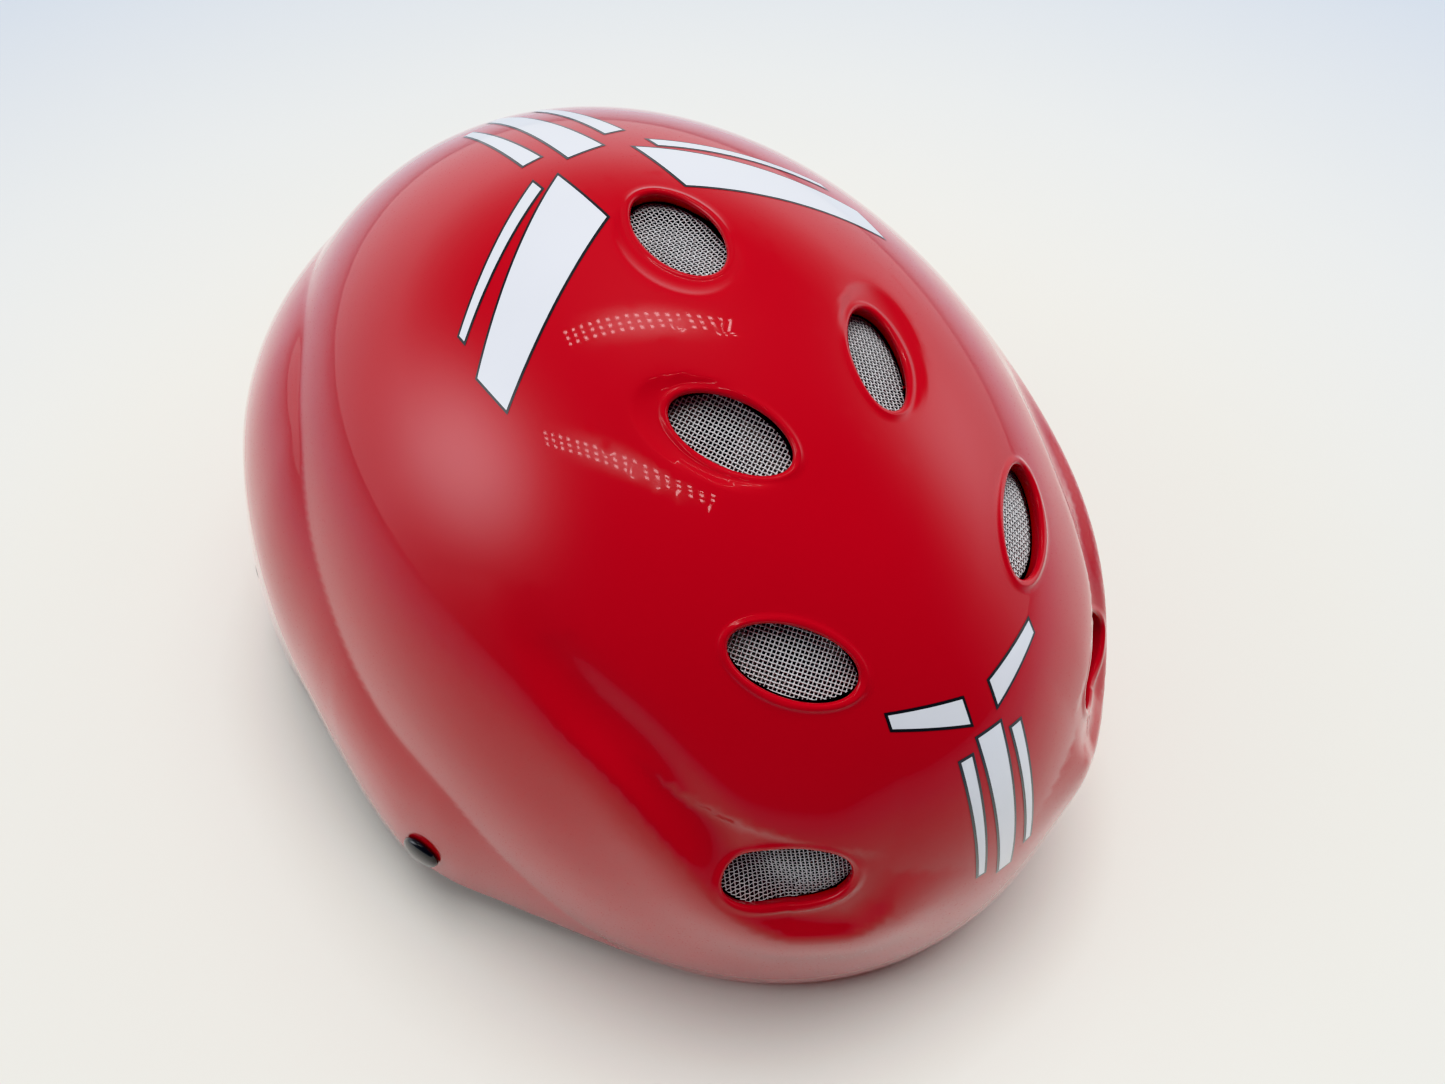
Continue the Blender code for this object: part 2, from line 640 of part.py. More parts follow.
def ribbon(name, centres, widths, normals, finish, width=WEBBING_WIDTH, thickness=WEBBING_THICKNESS):
    """Webbing along a row of centres, with its width and its flat side's direction given at each."""
    points, faces = [], []
    for centre, across, normal in zip(centres, widths, normals):
        for side, face in ((-1, -1), (1, -1), (1, 1), (-1, 1)):
            points.append(centre + side * across * width / 2 + face * normal * thickness / 2)
    for i in range(len(centres) - 1):
        a, b = 4 * i, 4 * (i + 1)
        faces.extend((a + k, a + (k + 1) % 4, b + (k + 1) % 4, b + k) for k in range(4))
    end = 4 * (len(centres) - 1)
    faces.append((3, 2, 1, 0))
    faces.append((end, end + 1, end + 2, end + 3))
    return outward(solid(name, points, faces, finish))


def outward(obj):
    """Turns the faces of a closed mesh to point out."""
    mesh = bmesh.new()
    mesh.from_mesh(obj.data)
    bmesh.ops.recalc_face_normals(mesh, faces=mesh.faces)
    mesh.to_mesh(obj.data)
    mesh.free()
    return obj


def place(obj, origin, x_axis, z_axis):
    """Puts the object's own X and Z axes along the given directions, at the origin."""
    x_axis, z_axis = Vector(x_axis).normalized(), Vector(z_axis).normalized()
    y_axis = z_axis.cross(x_axis)
    turn = Matrix((x_axis, y_axis, z_axis)).transposed().to_4x4()
    obj.matrix_basis = Matrix.Translation(Vector(origin)) @ turn
    return obj


def hang_on(obj, pivot):
    """Parents the object to the empty on its joint's axis, without moving it."""
    obj.parent = pivot
    obj.matrix_parent_inverse = Matrix.Translation(pivot.location).inverted()
    return obj


def joint_empty(name, location):
    """An empty on a joint's axis."""
    empty = bpy.data.objects.new(name, None)
    empty.location = location
    empty.empty_display_size = 0.01
    bpy.context.scene.collection.objects.link(empty)
    return empty


def combine(obj, tools, operation="UNION"):
    """Joins the tools to the object, or cuts them from it, and removes them."""
    for tool in tools:
        change = obj.modifiers.new(operation.lower(), "BOOLEAN")
        change.operation = operation
        change.object = tool
    bpy.context.view_layer.update()
    graph = bpy.context.evaluated_depsgraph_get()
    mesh = bpy.data.meshes.new_from_object(obj.evaluated_get(graph))
    obj.modifiers.clear()
    obj.data = mesh
    for tool in tools:
        bpy.data.objects.remove(tool, do_unlink=True)
    return obj


def make_rivets_and_hangers(cap_finish, plastic, steel):
    """Each rivet runs along the shell's normal, and its hanger is parallel to the strap's swing axis."""
    for name, side, azimuth, polar in rivet_places():
        seat, normal, reach = rivet_line(azimuth, polar, side)
        hole = seat - normal * reach
        rivet = turned(f"rivet_{name}", rivet_profile(reach), cap_finish)
        place(rivet, seat, (-normal[1], normal[0], 0), normal)
        hanger = make_hanger(f"strap_hanger_{name}", hole[2] - STRAP_AXIS_HEIGHT, plastic)
        place(hanger, hole, (0, side, 0), (side, 0, 0))
        screw = turned(f"anchor_screw_{name}", screw_profile(), steel, 16)
        inner_face = Vector(hole) - Vector((side * (HANGER_THICKNESS / 2 + CLEARANCE), 0, 0))
        place(screw, inner_face, (0, side, 0), (-side, 0, 0))


def rivet_line(azimuth, polar, side):
    """Where the rivet's axis leaves the shell, its direction, and how far inside the hanger's plane lies."""
    normal = shell_normal(azimuth, polar)
    seat = shell_surface(np.array([azimuth]), np.array([polar]))[0]
    return seat, normal, (seat[0] - side * HANGER_PLANE) / normal[0]


def hanger_y(end):
    """Y of the hanger at one end, where the rivet meets the hanger's plane."""
    seat, normal, reach = rivet_line(*RIVETS[end], -1)
    return float((seat - normal * reach)[1])


def rivet_profile(reach):
    """Domed cap on the shell with a shank that ends inside the hanger's hole."""
    cap, lift = RIVET_CAP_RADIUS, 2 * CLEARANCE
    edge, rise = RIVET_EDGE_SHARE * RIVET_CAP_HEIGHT, (1 - RIVET_EDGE_SHARE) * RIVET_CAP_HEIGHT
    turns = (0.0, 0.45, 0.85, 1.2, math.pi / 2)
    dome_points = [(cap * math.sin(turn), lift + edge + rise * math.cos(turn)) for turn in turns]
    return [*dome_points, (cap, lift), (RIVET_SHANK_RADIUS, lift), (RIVET_SHANK_RADIUS, -reach), (0, -reach)]


def screw_profile():
    """Low pan head that clamps the hanger from inside."""
    radius, height = SCREW_RADIUS, SCREW_HEIGHT
    flat, edge = SCREW_TOP_SHARE * radius, SCREW_EDGE_SHARE * height
    return [(0, height), (flat, height), (radius, edge), (radius, 0), (0, 0)]


def make_hanger(name, drop, finish):
    """Slotted plate: a hole for the rivet, and a bar below it that the webbing loops round."""
    bottom = -(drop + BAR_WIDTH / 2)
    slot_low = -(drop - BAR_WIDTH / 2)
    outline = rounded_box(HANGER_WIDTH, HANGER_TOP - bottom, HANGER_CORNER) + (0, (HANGER_TOP + bottom) / 2)
    slot = rounded_box(SLOT_LENGTH, SLOT_WIDTH, SLOT_CORNER, 1) + (0, slot_low + SLOT_WIDTH / 2)
    half = HANGER_THICKNESS / 2
    return plate(name, outline, [slot[::-1], circle(HANGER_HOLE_RADIUS)[::-1]], -half, half, finish)


class StrapPlane:
    """Frame of one ear strap: inward along the strap, along the swing axis, and up from its flat side."""

    def __init__(self, side):
        self.side = side
        self.origin = np.array([side * HANGER_PLANE, 0.0, STRAP_AXIS_HEIGHT])
        self.inward = np.array([-side * math.cos(STRAP_DROP_ANGLE), 0.0, -math.sin(STRAP_DROP_ANGLE)])
        self.along = np.array([0.0, 1.0, 0.0])
        self.up = np.array([-side * math.sin(STRAP_DROP_ANGLE), 0.0, math.cos(STRAP_DROP_ANGLE)])

    def point(self, inward, along, up=0.0):
        return self.origin + inward * self.inward + along * self.along + up * self.up


def loop_path(tail_length=LOOP_TAIL, steps=10):
    """Webbing round a bar: (inward, up, facing) from the sewn-down tail, round the bar, to the main run."""
    tail = 0.5 * WEBBING_THICKNESS + SEWN_GAP
    path = [(tail_length, -tail, -math.pi / 2), (LOOP_NECK, -tail, -math.pi / 2)]
    for i in range(steps + 1):
        turn = -LOOP_OPEN_TURN - 2 * (math.pi - LOOP_OPEN_TURN) * i / steps
        path.append((LOOP_RADIUS * math.cos(turn), LOOP_RADIUS * math.sin(turn), turn))
    path.append((LOOP_NECK, tail, -3 * math.pi / 2))
    path.append((LOOP_TAIL, tail, -3 * math.pi / 2))
    return path


def make_ear_strap(name, plane, finish, front_y, rear_y):
    """One length of webbing: looped round the front bar, turned at the divider, looped round the rear bar."""
    centres, widths, normals = [], [], []
    for inward, up, facing in loop_path():
        centres.append(plane.point(inward, front_y, up))
        widths.append(plane.along)
        normals.append(math.cos(facing) * plane.inward + math.sin(facing) * plane.up)
    start, corner, end = (LOOP_TAIL, front_y), (STRAP_REACH, JUNCTION_Y), (LOOP_TAIL, rear_y)
    lift = 0.5 * WEBBING_THICKNESS + SEWN_GAP
    for inward, along, heading in turned_corner(start, corner, end):
        level = lift * max(0.0, 1 - (inward - LOOP_TAIL) / LEVEL_OUT)
        across = -heading[1] * plane.inward + heading[0] * plane.along
        centres.append(plane.point(inward, along, level))
        widths.append(across)
        normals.append(plane.up)
    for inward, up, facing in reversed(loop_path()):
        centres.append(plane.point(inward, rear_y, up))
        widths.append(-plane.along)
        normals.append(math.cos(facing) * plane.inward + math.sin(facing) * plane.up)
    return ribbon(name, centres, widths, normals, finish)


def turned_corner(start, corner, end, steps=8):
    """Plane points with their headings, from start to end round a circular turn at the corner."""
    start, corner, end = map(np.array, (start, corner, end))
    into = (corner - start) / np.linalg.norm(corner - start)
    out = (end - corner) / np.linalg.norm(end - corner)
    bend = math.acos(np.clip(into @ out, -1, 1))
    back = TURN_RADIUS * math.tan(bend / 2)
    sign = math.copysign(1, into[0] * out[1] - into[1] * out[0])
    begin = corner - into * back
    centre = begin + sign * TURN_RADIUS * np.array([-into[1], into[0]])
    found = [(*(start + into * distance), into) for distance in STRAIGHT_STATIONS]
    for i in range(steps + 1):
        turn = sign * bend * i / steps
        cosine, sine = math.cos(turn), math.sin(turn)
        spoke = begin - centre
        point = centre + (cosine * spoke[0] - sine * spoke[1], sine * spoke[0] + cosine * spoke[1])
        heading = np.array([cosine * into[0] - sine * into[1], sine * into[0] + cosine * into[1]])
        found.append((*point, heading))
    found.extend((*(end - out * distance), out) for distance in reversed(STRAIGHT_STATIONS))
    return found


def strip(name, outline, holes, depth, origin, x_axis, z_axis, finish):
    """A plate of the given depth, centred on the plane through the origin that the axes span."""
    made = plate(name, outline, holes, -depth / 2, depth / 2, finish)
    return place(made, origin, x_axis, z_axis)


def make_divider(name, plane, finish):
    """Base plate with two lugs that carry the lever's pin."""
    up_of_plate = -(WEBBING_THICKNESS / 2 + CLEARANCE + DIVIDER_PLATE / 2)
    outline = rounded_box(DIVIDER_LENGTH, DIVIDER_WIDTH, DIVIDER_CORNER)
    centre = plane.point(DIVIDER_REACH + DIVIDER_SHIFT, JUNCTION_Y, up_of_plate)
    base = strip(name, outline, [], DIVIDER_PLATE, centre, plane.inward, plane.up, finish)
    bottom = up_of_plate - LEVER_AXIS_UP - DIVIDER_PLATE / 2
    half = LUG_LENGTH / 2
    foot = half - LUG_TAPER
    lug_outline = [(foot, bottom), *arc_points(half, -10, 190, 8), (-foot, bottom)]
    hole = circle(LEVER_HOLE_RADIUS, segments=12)[::-1]
    sideways = np.cross(plane.inward, plane.up)
    lugs = []
    for across in (-1, 1):
        middle = lever_axis(plane) + plane.along * across * LUG_SPACING / 2
        lugs.append(strip("lug", lug_outline, [hole], LUG_THICKNESS, middle, plane.inward, sideways, finish))
    return combine(base, lugs)


def arc_points(radius, start, end, steps):
    """Points on a circle about zero between two angles in degrees."""
    turn = np.radians(np.linspace(start, end, steps + 1))
    return [tuple(point) for point in np.stack([radius * np.cos(turn), radius * np.sin(turn)], -1)]


def lever_axis(plane):
    return plane.point(DIVIDER_REACH + LEVER_AXIS_REACH, JUNCTION_Y, LEVER_AXIS_UP)


def make_lever(name, plane, finish):
    """Cam lever: a flap over the straps, a knuckle between the lugs and a pin through them."""
    axis = lever_axis(plane)
    top = LEVER_AXIS_UP + LEVER_KNUCKLE_RADIUS
    outline = rounded_box(LEVER_LENGTH, LEVER_WIDTH, LEVER_CORNER)
    reach = DIVIDER_REACH + LEVER_AXIS_REACH - LEVER_LENGTH / 2
    centre = plane.point(reach, JUNCTION_Y, top - LEVER_PLATE / 2)
    flap = strip(name, outline, [], LEVER_PLATE, centre, plane.inward, plane.up, finish)
    knuckle = circle(LEVER_KNUCKLE_RADIUS)
    pin = circle(LEVER_PIN_RADIUS, segments=12)
    width = LUG_SPACING + LUG_THICKNESS
    tools = [
        strip("knuckle", knuckle, [], LEVER_WIDTH - KNUCKLE_GAP, axis, plane.inward, plane.along, finish),
        strip("pin", pin, [], width, axis, plane.inward, plane.along, finish),
    ]
    return combine(flap, tools)


def make_chin_strap(name, plane, finish, bar_y, tail_length, tail_above):
    """Webbing from the divider down to the buckle's bar, where it loops back on itself."""
    start_level = WEBBING_THICKNESS + CLEARANCE
    raised = plane.point(CHIN_REACH, 0, start_level)
    x = raised[0]
    side = 1 if tail_above else -1
    tail = 0.5 * WEBBING_THICKNESS + SEWN_GAP
    run_level = CHIN_LEVEL - side * tail
    level_axis = np.array([math.copysign(1, plane.inward[0]), 0, 0])
    upright = np.array([0, 0, 1.0])
    centres, widths, normals = [], [], []
    for y in (CHIN_STRAP_START, *np.linspace(*CHIN_SLOPE, 5)):
        share = np.clip((CHIN_SLOPE[0] - y) / (CHIN_SLOPE[0] - CHIN_SLOPE[1]), 0, 1)
        share = share * share * (3 - 2 * share)
        centres.append(np.array([x, y, raised[2] + share * (run_level - raised[2])]))
        across = plane.inward * (1 - share) + level_axis * share
        widths.append(across / np.linalg.norm(across))
        normals.append(plane.up * (1 - share) + upright * share)
    for away, up, facing in reversed(loop_path(tail_length)):
        centres.append(np.array([x, bar_y + away, CHIN_LEVEL - side * up]))
        widths.append(level_axis)
        normals.append(np.array([0, -side * math.cos(facing), math.sin(facing)]))
    return ribbon(name, centres, widths, normals, finish)


def buckle_frame(name, centre_x, bar_y, finish, reach):
    """Flat rear part of a buckle half: the bar, the slot before it, and a web that reaches into the body."""
    near = BAR_WIDTH / 2
    outline = rounded_box(BUCKLE_WIDTH, reach + near, MALE_CORNER) + (0, (reach - near) / 2)
    slot = rounded_box(BUCKLE_SLOT_LENGTH, SLOT_WIDTH, SLOT_CORNER, 1) + (0, near + SLOT_WIDTH / 2)
    bar = (centre_x, bar_y, CHIN_LEVEL)
    return strip(name, outline, [slot[::-1]], BUCKLE_FRAME, bar, (-1, 0, 0), (0, 0, 1), finish)


def block(name, size, centre, finish, radius=SHARP_CORNER):
    """A box with its upright edges rounded."""
    width, length, height = size
    outline = rounded_box(width, length, radius, 1 if radius == SHARP_CORNER else 4)
    return strip(name, outline, [], height, centre, (1, 0, 0), (0, 0, 1), finish)


def make_female_buckle(centre_x, finish):
    """Socket half: a hollow body open at the front, with a window on each side for the prongs."""
    reach = FEMALE_START + BUCKLE_OVERLAP
    frame = buckle_frame("buckle_female", centre_x, FEMALE_BAR_Y, finish, reach)
    middle = FEMALE_BAR_Y - FEMALE_START - FEMALE_LENGTH / 2
    front = middle - FEMALE_LENGTH / 2
    size = (BUCKLE_WIDTH, FEMALE_LENGTH, BUCKLE_HEIGHT)
    body = block("body", size, (centre_x, middle, CHIN_LEVEL), finish, FEMALE_CORNER)
    mouth = block("mouth", MOUTH, (centre_x, front, CHIN_LEVEL), finish)
    windows = block("windows", WINDOWS, (centre_x, middle + WINDOWS_SHIFT, CHIN_LEVEL), finish)
    combine(frame, [body])
    return combine(frame, [mouth, windows], "DIFFERENCE")


def make_male_buckle(centre_x, finish):
    """Plug half: frame, shoulder block, a centre tongue and two barbed prongs."""
    reach = MALE_BLOCK[0] + BUCKLE_OVERLAP
    frame = buckle_frame("buckle_male", centre_x, MALE_BAR_Y, finish, reach)
    middle = MALE_BAR_Y - sum(MALE_BLOCK) / 2
    size = (BUCKLE_WIDTH, MALE_BLOCK[1] - MALE_BLOCK[0], BUCKLE_HEIGHT * MALE_BLOCK_SHARE)
    shoulder = block("shoulder", size, (centre_x, middle, CHIN_LEVEL), finish, MALE_CORNER)
    outline = [*PRONG_OUTLINE, *((-x, y) for x, y in reversed(PRONG_OUTLINE))]
    bar = (centre_x, MALE_BAR_Y, CHIN_LEVEL)
    prongs = strip("prongs", outline, [], PRONG_HEIGHT, bar, (-1, 0, 0), (0, 0, 1), finish)
    return combine(frame, [shoulder, prongs])


def sleeve(name, centre, outer, inner, length, radius, finish):
    """A tube of rounded rectangular section along Y round a strap."""
    outline = rounded_box(outer[0], outer[1], radius, 5)
    hole = rounded_box(inner[0], inner[1], SLOT_CORNER, 1)[::-1]
    return strip(name, outline, [hole], length, centre, (1, 0, 0), (0, -1, 0), finish)


def make_harness(side, word, webbing, plastic):
    """One side of the harness on its joint axes. It returns the swing's pivot and the chin strap's X."""
    plane = StrapPlane(side)
    swing = joint_empty(f"strap_{word}_swing_axis", plane.origin)
    lever_pivot = joint_empty(f"divider_lever_{word}_axis", lever_axis(plane))
    hang_on(make_ear_strap(f"ear_strap_{word}", plane, webbing, hanger_y("front"), hanger_y("rear")), swing)
    hang_on(make_divider(f"divider_{word}", plane, plastic), swing)
    hang_on(make_lever(f"divider_lever_{word}", plane, plastic), lever_pivot)
    bar_y, tail_length = (MALE_BAR_Y, MALE_TAIL) if side > 0 else (FEMALE_BAR_Y, LOOP_TAIL)
    hang_on(make_chin_strap(f"chin_strap_{word}", plane, webbing, bar_y, tail_length, side > 0), swing)
    return swing, plane.point(CHIN_REACH, 0)[0]


def main():
    clear_scene()
    shell_red = material("shell_red", (0.42, 0.004, 0.010), 0.12)
    vent_steel = material("vent_steel", (0.62, 0.62, 0.63), 0.28, 1.0)
    foam_black = material("foam_black", (0.015, 0.015, 0.016), 0.85)
    pad_fabric = material("pad_fabric", (0.022, 0.022, 0.024), 0.9)
    plastic_black = material("plastic_black", (0.018, 0.018, 0.019), 0.35)
    rivet_black = material("rivet_black", (0.012, 0.012, 0.014), 0.15)
    screw_steel = material("screw_steel", (0.55, 0.55, 0.56), 0.3, 1.0)
    webbing_black = material("webbing_black", (0.02, 0.02, 0.021), 0.8)
    rubber_black = material("rubber_black", (0.016, 0.016, 0.016), 0.6)

    make_outer_shell(shell_red)
    make_vent_meshes(vent_steel)
    make_foam_liner(foam_black)
    make_pads(pad_fabric)
    make_rivets_and_hangers(rivet_black, plastic_black, screw_steel)

    left_swing, left_x = make_harness(-1, "left", webbing_black, plastic_black)
    female_pivot = joint_empty("buckle_female_axis", (left_x, FEMALE_BAR_Y, CHIN_LEVEL))
    hang_on(make_female_buckle(left_x, plastic_black), female_pivot)
    pad_place = (left_x, CHIN_PAD_Y, CHIN_LEVEL)
    sizes = (CHIN_PAD_OUTER, CHIN_PAD_INNER, CHIN_PAD_LENGTH, CHIN_PAD_CORNER)
    hang_on(sleeve("chin_pad", pad_place, *sizes, pad_fabric), left_swing)

    _, right_x = make_harness(1, "right", webbing_black, plastic_black)
    male_pivot = joint_empty("buckle_male_axis", (right_x, MALE_BAR_Y, CHIN_LEVEL))
    hang_on(make_male_buckle(right_x, plastic_black), male_pivot)
    keeper_place = (right_x, KEEPER_Y, CHIN_LEVEL)
    keeper_pivot = joint_empty("strap_keeper_axis", keeper_place)
    sizes = (KEEPER_OUTER, KEEPER_INNER, KEEPER_LENGTH, KEEPER_CORNER)
    hang_on(sleeve("strap_keeper", keeper_place, *sizes, rubber_black), keeper_pivot)
    centre_on_ground(bpy.data.objects["outer_shell"])


def centre_on_ground(shell):
    """Puts everything under one empty that brings the middle of the shell's length over the origin."""
    along = [vertex.co.y for vertex in shell.data.vertices]
    middle = joint_empty("helmet_middle", (0.0, -(min(along) + max(along)) / 2, 0.0))
    for obj in bpy.data.objects:
        if obj.parent is None and obj is not middle:
            obj.parent = middle


main()
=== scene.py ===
"""Looks of the water sports helmet: clear-coated shell, wire vents, foam liner, pads and chin harness."""

import json
import math

import bmesh
import bpy
import numpy as np
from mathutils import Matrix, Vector
from mathutils.bvhtree import BVHTree
from mathutils.geometry import delaunay_2d_cdt


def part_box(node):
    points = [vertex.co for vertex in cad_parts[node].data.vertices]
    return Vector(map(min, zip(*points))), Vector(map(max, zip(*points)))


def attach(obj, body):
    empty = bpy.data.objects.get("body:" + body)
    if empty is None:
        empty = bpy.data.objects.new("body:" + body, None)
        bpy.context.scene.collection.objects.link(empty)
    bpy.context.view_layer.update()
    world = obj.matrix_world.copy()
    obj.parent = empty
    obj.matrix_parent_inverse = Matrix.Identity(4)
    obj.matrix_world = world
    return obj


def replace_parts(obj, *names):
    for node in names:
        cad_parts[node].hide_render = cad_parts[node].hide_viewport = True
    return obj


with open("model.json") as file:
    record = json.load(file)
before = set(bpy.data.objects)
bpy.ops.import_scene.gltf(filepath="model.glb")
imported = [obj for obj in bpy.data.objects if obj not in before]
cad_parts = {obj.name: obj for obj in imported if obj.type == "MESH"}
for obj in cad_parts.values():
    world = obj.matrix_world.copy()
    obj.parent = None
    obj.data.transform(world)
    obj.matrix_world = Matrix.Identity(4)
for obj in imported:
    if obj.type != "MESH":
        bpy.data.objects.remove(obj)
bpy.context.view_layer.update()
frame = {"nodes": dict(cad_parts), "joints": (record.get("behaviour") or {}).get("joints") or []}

SHELL_LOW = np.array(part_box("outer_shell")[0])

# The dome: half of an ellipsoid that stands on a slightly tucked wall, as in the CAD model.
HALF_WIDTH = 0.101
FRONT_LENGTH = 0.1425
BACK_LENGTH = 0.1335
CROWN_RISE = 0.110
EQUATOR_HEIGHT = 0.0446
WALL_TUCK = 0.055
MEAN_RADIUS = 0.115
# The dome's own centre line lies this far behind the origin, which is at the middle of the shell's length.
MIDDLE_SHIFT = SHELL_LOW[1] + FRONT_LENGTH
SHELL_THICKNESS = 0.0035

# Curves round the rim, each a list of (angle from the nape in degrees, value).
RIM_HEIGHT = (
    (0, 0.0), (25, 0.0), (40, 0.003), (55, 0.003), (65, 0.005), (75, 0.010), (88, 0.016),
    (100, 0.015), (110, 0.012), (122, 0.008), (134, 0.004), (150, 0.0), (180, 0.0),
)
RIM_FLARE = (
    (0, 0.005), (34, 0.006), (44, 0.009), (53, 0.014), (61, 0.019), (65, 0.0195), (70, 0.018),
    (77, 0.0135), (84, 0.010), (90, 0.009), (96, 0.010), (104, 0.011), (110, 0.009),
    (117, 0.0045), (123, 0.002), (130, 0.0005), (136, 0.0), (180, 0.0),
)
CREASE_POLAR = (
    (0, 58), (30, 54), (60, 50), (76, 55), (90, 67), (103, 79), (112, 83), (120, 92), (130, 106), (136, 112),
)
CREASE_END = 136
CREASE_SOFTNESS = 0.6
SHELF_POWER = 1.4
FLARE_POWER = 1.6
RIDGE_POLAR = ((0, 76), (30, 73), (60, 72), (76, 79), (88, 93), (97, 107))
RIDGE_FLARE = ((0, 0.0035), (30, 0.005), (60, 0.007), (76, 0.007), (88, 0.0075), (97, 0.010))
RIDGE_END = 97

# Swept ridge that ends round the lower vent, and the fold above its channel: (azimuth, polar angle).
SWOOSH = (
    (206, 50), (210, 56), (217, 61), (224, 65), (230, 72),
    (235, 80), (242, 84.5), (248, 84.5), (253, 81), (255.5, 76),
)
SWOOSH_HEIGHT = 0.0028
SWOOSH_LOWER_WIDTH = 0.014
SWOOSH_UPPER_WIDTH = 0.0045
CHANNEL_DEPTH = 0.0013
CHANNEL_OFFSET = 0.0105
CHANNEL_WIDTH = 0.0055
FOLD = ((220, 57), (227, 62), (233, 65.5), (241, 68), (249, 70.5), (254, 72))
FOLD_HEIGHT = 0.0009
FOLD_UPPER_WIDTH = 0.013
FOLD_LOWER_WIDTH = 0.0022

# Vents: plan position of the centre on the dome, plan direction of the long axis, half length and half width.
VENTS = {
    "top": ((0.0, -0.0184), (0.0, -1.0), 0.0136, 0.0078),
    "upper_left": ((-0.0194, -0.0640), (0.49, -0.87), 0.0132, 0.0063),
    "middle_left": ((-0.0310, -0.1010), (0.68, -0.74), 0.0131, 0.0066),
    "lower_left": ((-0.0460, -0.1215), (0.823, -0.568), 0.0132, 0.0086),
}
# Dished recess round a vent: offset along and across the vent's axes, half length, half width, depth.
DISHES = {
    "top": (0.0030, -0.0026, 0.0168, 0.0116, 0.0020),
    "upper_left": (-0.0034, -0.0014, 0.0172, 0.0096, 0.0018),
    "upper_right": (-0.0034, 0.0014, 0.0172, 0.0096, 0.0018),
}
DISH_ROWS = (0.90, 0.96, 1.01, 1.06)
DISH_SOFTNESS = 0.05
DISH_FALL = 0.2
LIP_HEIGHT = 0.00042
LIP_OFFSET = 0.0014
LIP_WIDTH = 0.0008
VENT_EDGE_RADIUS = 0.0009
VENT_WALL = 0.0033
VENT_STEPS = 80
# Distances of the extra rows of points round a vent.
VENT_ROWS = (0.0005, 0.0011, 0.0019, 0.003, 0.0045)

SURFACE_SPACING = 0.0018
WIRE_PITCH = 0.00092
WIRE_RADIUS = 0.00018
WIRE_CRIMP = 0.95
WIRE_MARGIN = 0.0034
WIRE_DEPTH = 0.0040

# Stage: between which distances the floor turns darker and cooler, partly painted shade, and the light of the
# room.
FLOOR_SHADE_FADE = (0.22, 0.62)
WALL_DIRECTION = (0.586, 0.810, 0.0)
WALL_LEVEL = 0.75
CEILING_LEVEL = 0.12
LOUVRE_LEVEL = 9.0
LOUVRE_CELLS = 18
LOUVRE_PITCH = 0.045
LOUVRE_SLAT = 0.020
LOUVRE_OPEN = 0.34
LOUVRE_GLOW_LEVEL = 2.2
LOUVRE_GLOW_WIDTH = 0.36
# Both ends of each ceiling light.
LOUVRES = {
    "louvre_far": ((-0.50, 0.80, 1.65), (0.62, 0.30, 1.65)),
    "louvre_near": ((-1.30, 0.56, 1.65), (-0.42, -0.50, 1.65)),
}
FILL_PLACE = (0.35, 0.1, 2.0)
FILL_SIZE = 1.8
FILL_POWER = 40.0
FLOOR_HALF = 3.0
CAMERA_LENS = 27.03
CAMERA_PLACE = (-0.10949, -0.18316, 0.28819)
# How far the camera looks down and to the side, in degrees.
CAMERA_TURN = (50.113, -35.90)
# Soft daylight: direction, sharpness, strength.
GLOWS = (
    ((-0.76, 0.42, 0.49), 22, 3.2), ((0.84, -0.20, 0.49), 18, 1.4), ((0.1, 0.45, 0.89), 8, 0.35),
    ((-0.3, -0.1, -0.95), 1, 0.35),
)

# Foam liner: gap under the dome, thickness at the sides and at the ends, and its rim's height round the head.
LINER_GAP = 0.0052
LINER_SIDE_THICKNESS = 0.010
LINER_END_THICKNESS = 0.018
LINER_VENT_MARGIN = 0.0045
LINER_RIM_HEIGHT = (
    (0, 0.008), (30, 0.009), (45, 0.026), (58, 0.042), (90, 0.046),
    (112, 0.041), (130, 0.022), (150, 0.008), (180, 0.008),
)
LINER_EDGE_RADIUS = 0.0022
LINER_SPACING = 0.003
LINER_STEPS = 40
LINER_ROWS = (0.0015, 0.004)
# A vent's wall in the foam ends this far before the foam's back.
LINER_WALL_SHORT = 0.0005
LINER_GROOVE_DEPTH = 0.0016
LINER_GROOVE_AT = 0.040
LINER_GROOVE_WIDTH = 0.0028

# Pads: azimuth and polar angle of the middle, half width, half height, thickness.
PADS = {
    "brow_pad": (270, 91, 0.100, 0.015, 0.009),
    "nape_pad": (90, 93, 0.080, 0.016, 0.009),
    "crown_pad": (90, 19, 0.034, 0.030, 0.009),
    "side_pad_left": (180, 72, 0.036, 0.016, 0.008),
    "side_pad_right": (0, 72, 0.036, 0.016, 0.008),
}
PAD_CHANNELS = {
    "brow_pad": (-0.6, -0.2, 0.2, 0.6), "nape_pad": (-0.5, 0.0, 0.5), "crown_pad": (-0.33, 0.33),
    "side_pad_left": (0.0,), "side_pad_right": (0.0,),
}
PAD_CORNER = 3.2
PAD_EDGE_SHARE = 0.35
PAD_VOXEL = 0.0024
PAD_SWELL = 0.0012
PAD_PRESSURE = 4.0
PAD_FRAMES = 20
PAD_CLEAR = 0.0004
SEAM_INSET = 0.72
SEAM_DEPTH = 0.0012
SEAM_WIDTH = 0.0016
PIPING_RADIUS = 0.0010
# Along a stitch: its thickness and its height over the cloth, both as shares of the thread's radius.
STITCH_PROFILE = ((0.2, -0.9), (0.9, 0.1), (1.0, 0.5), (0.9, 0.1), (0.2, -0.9))

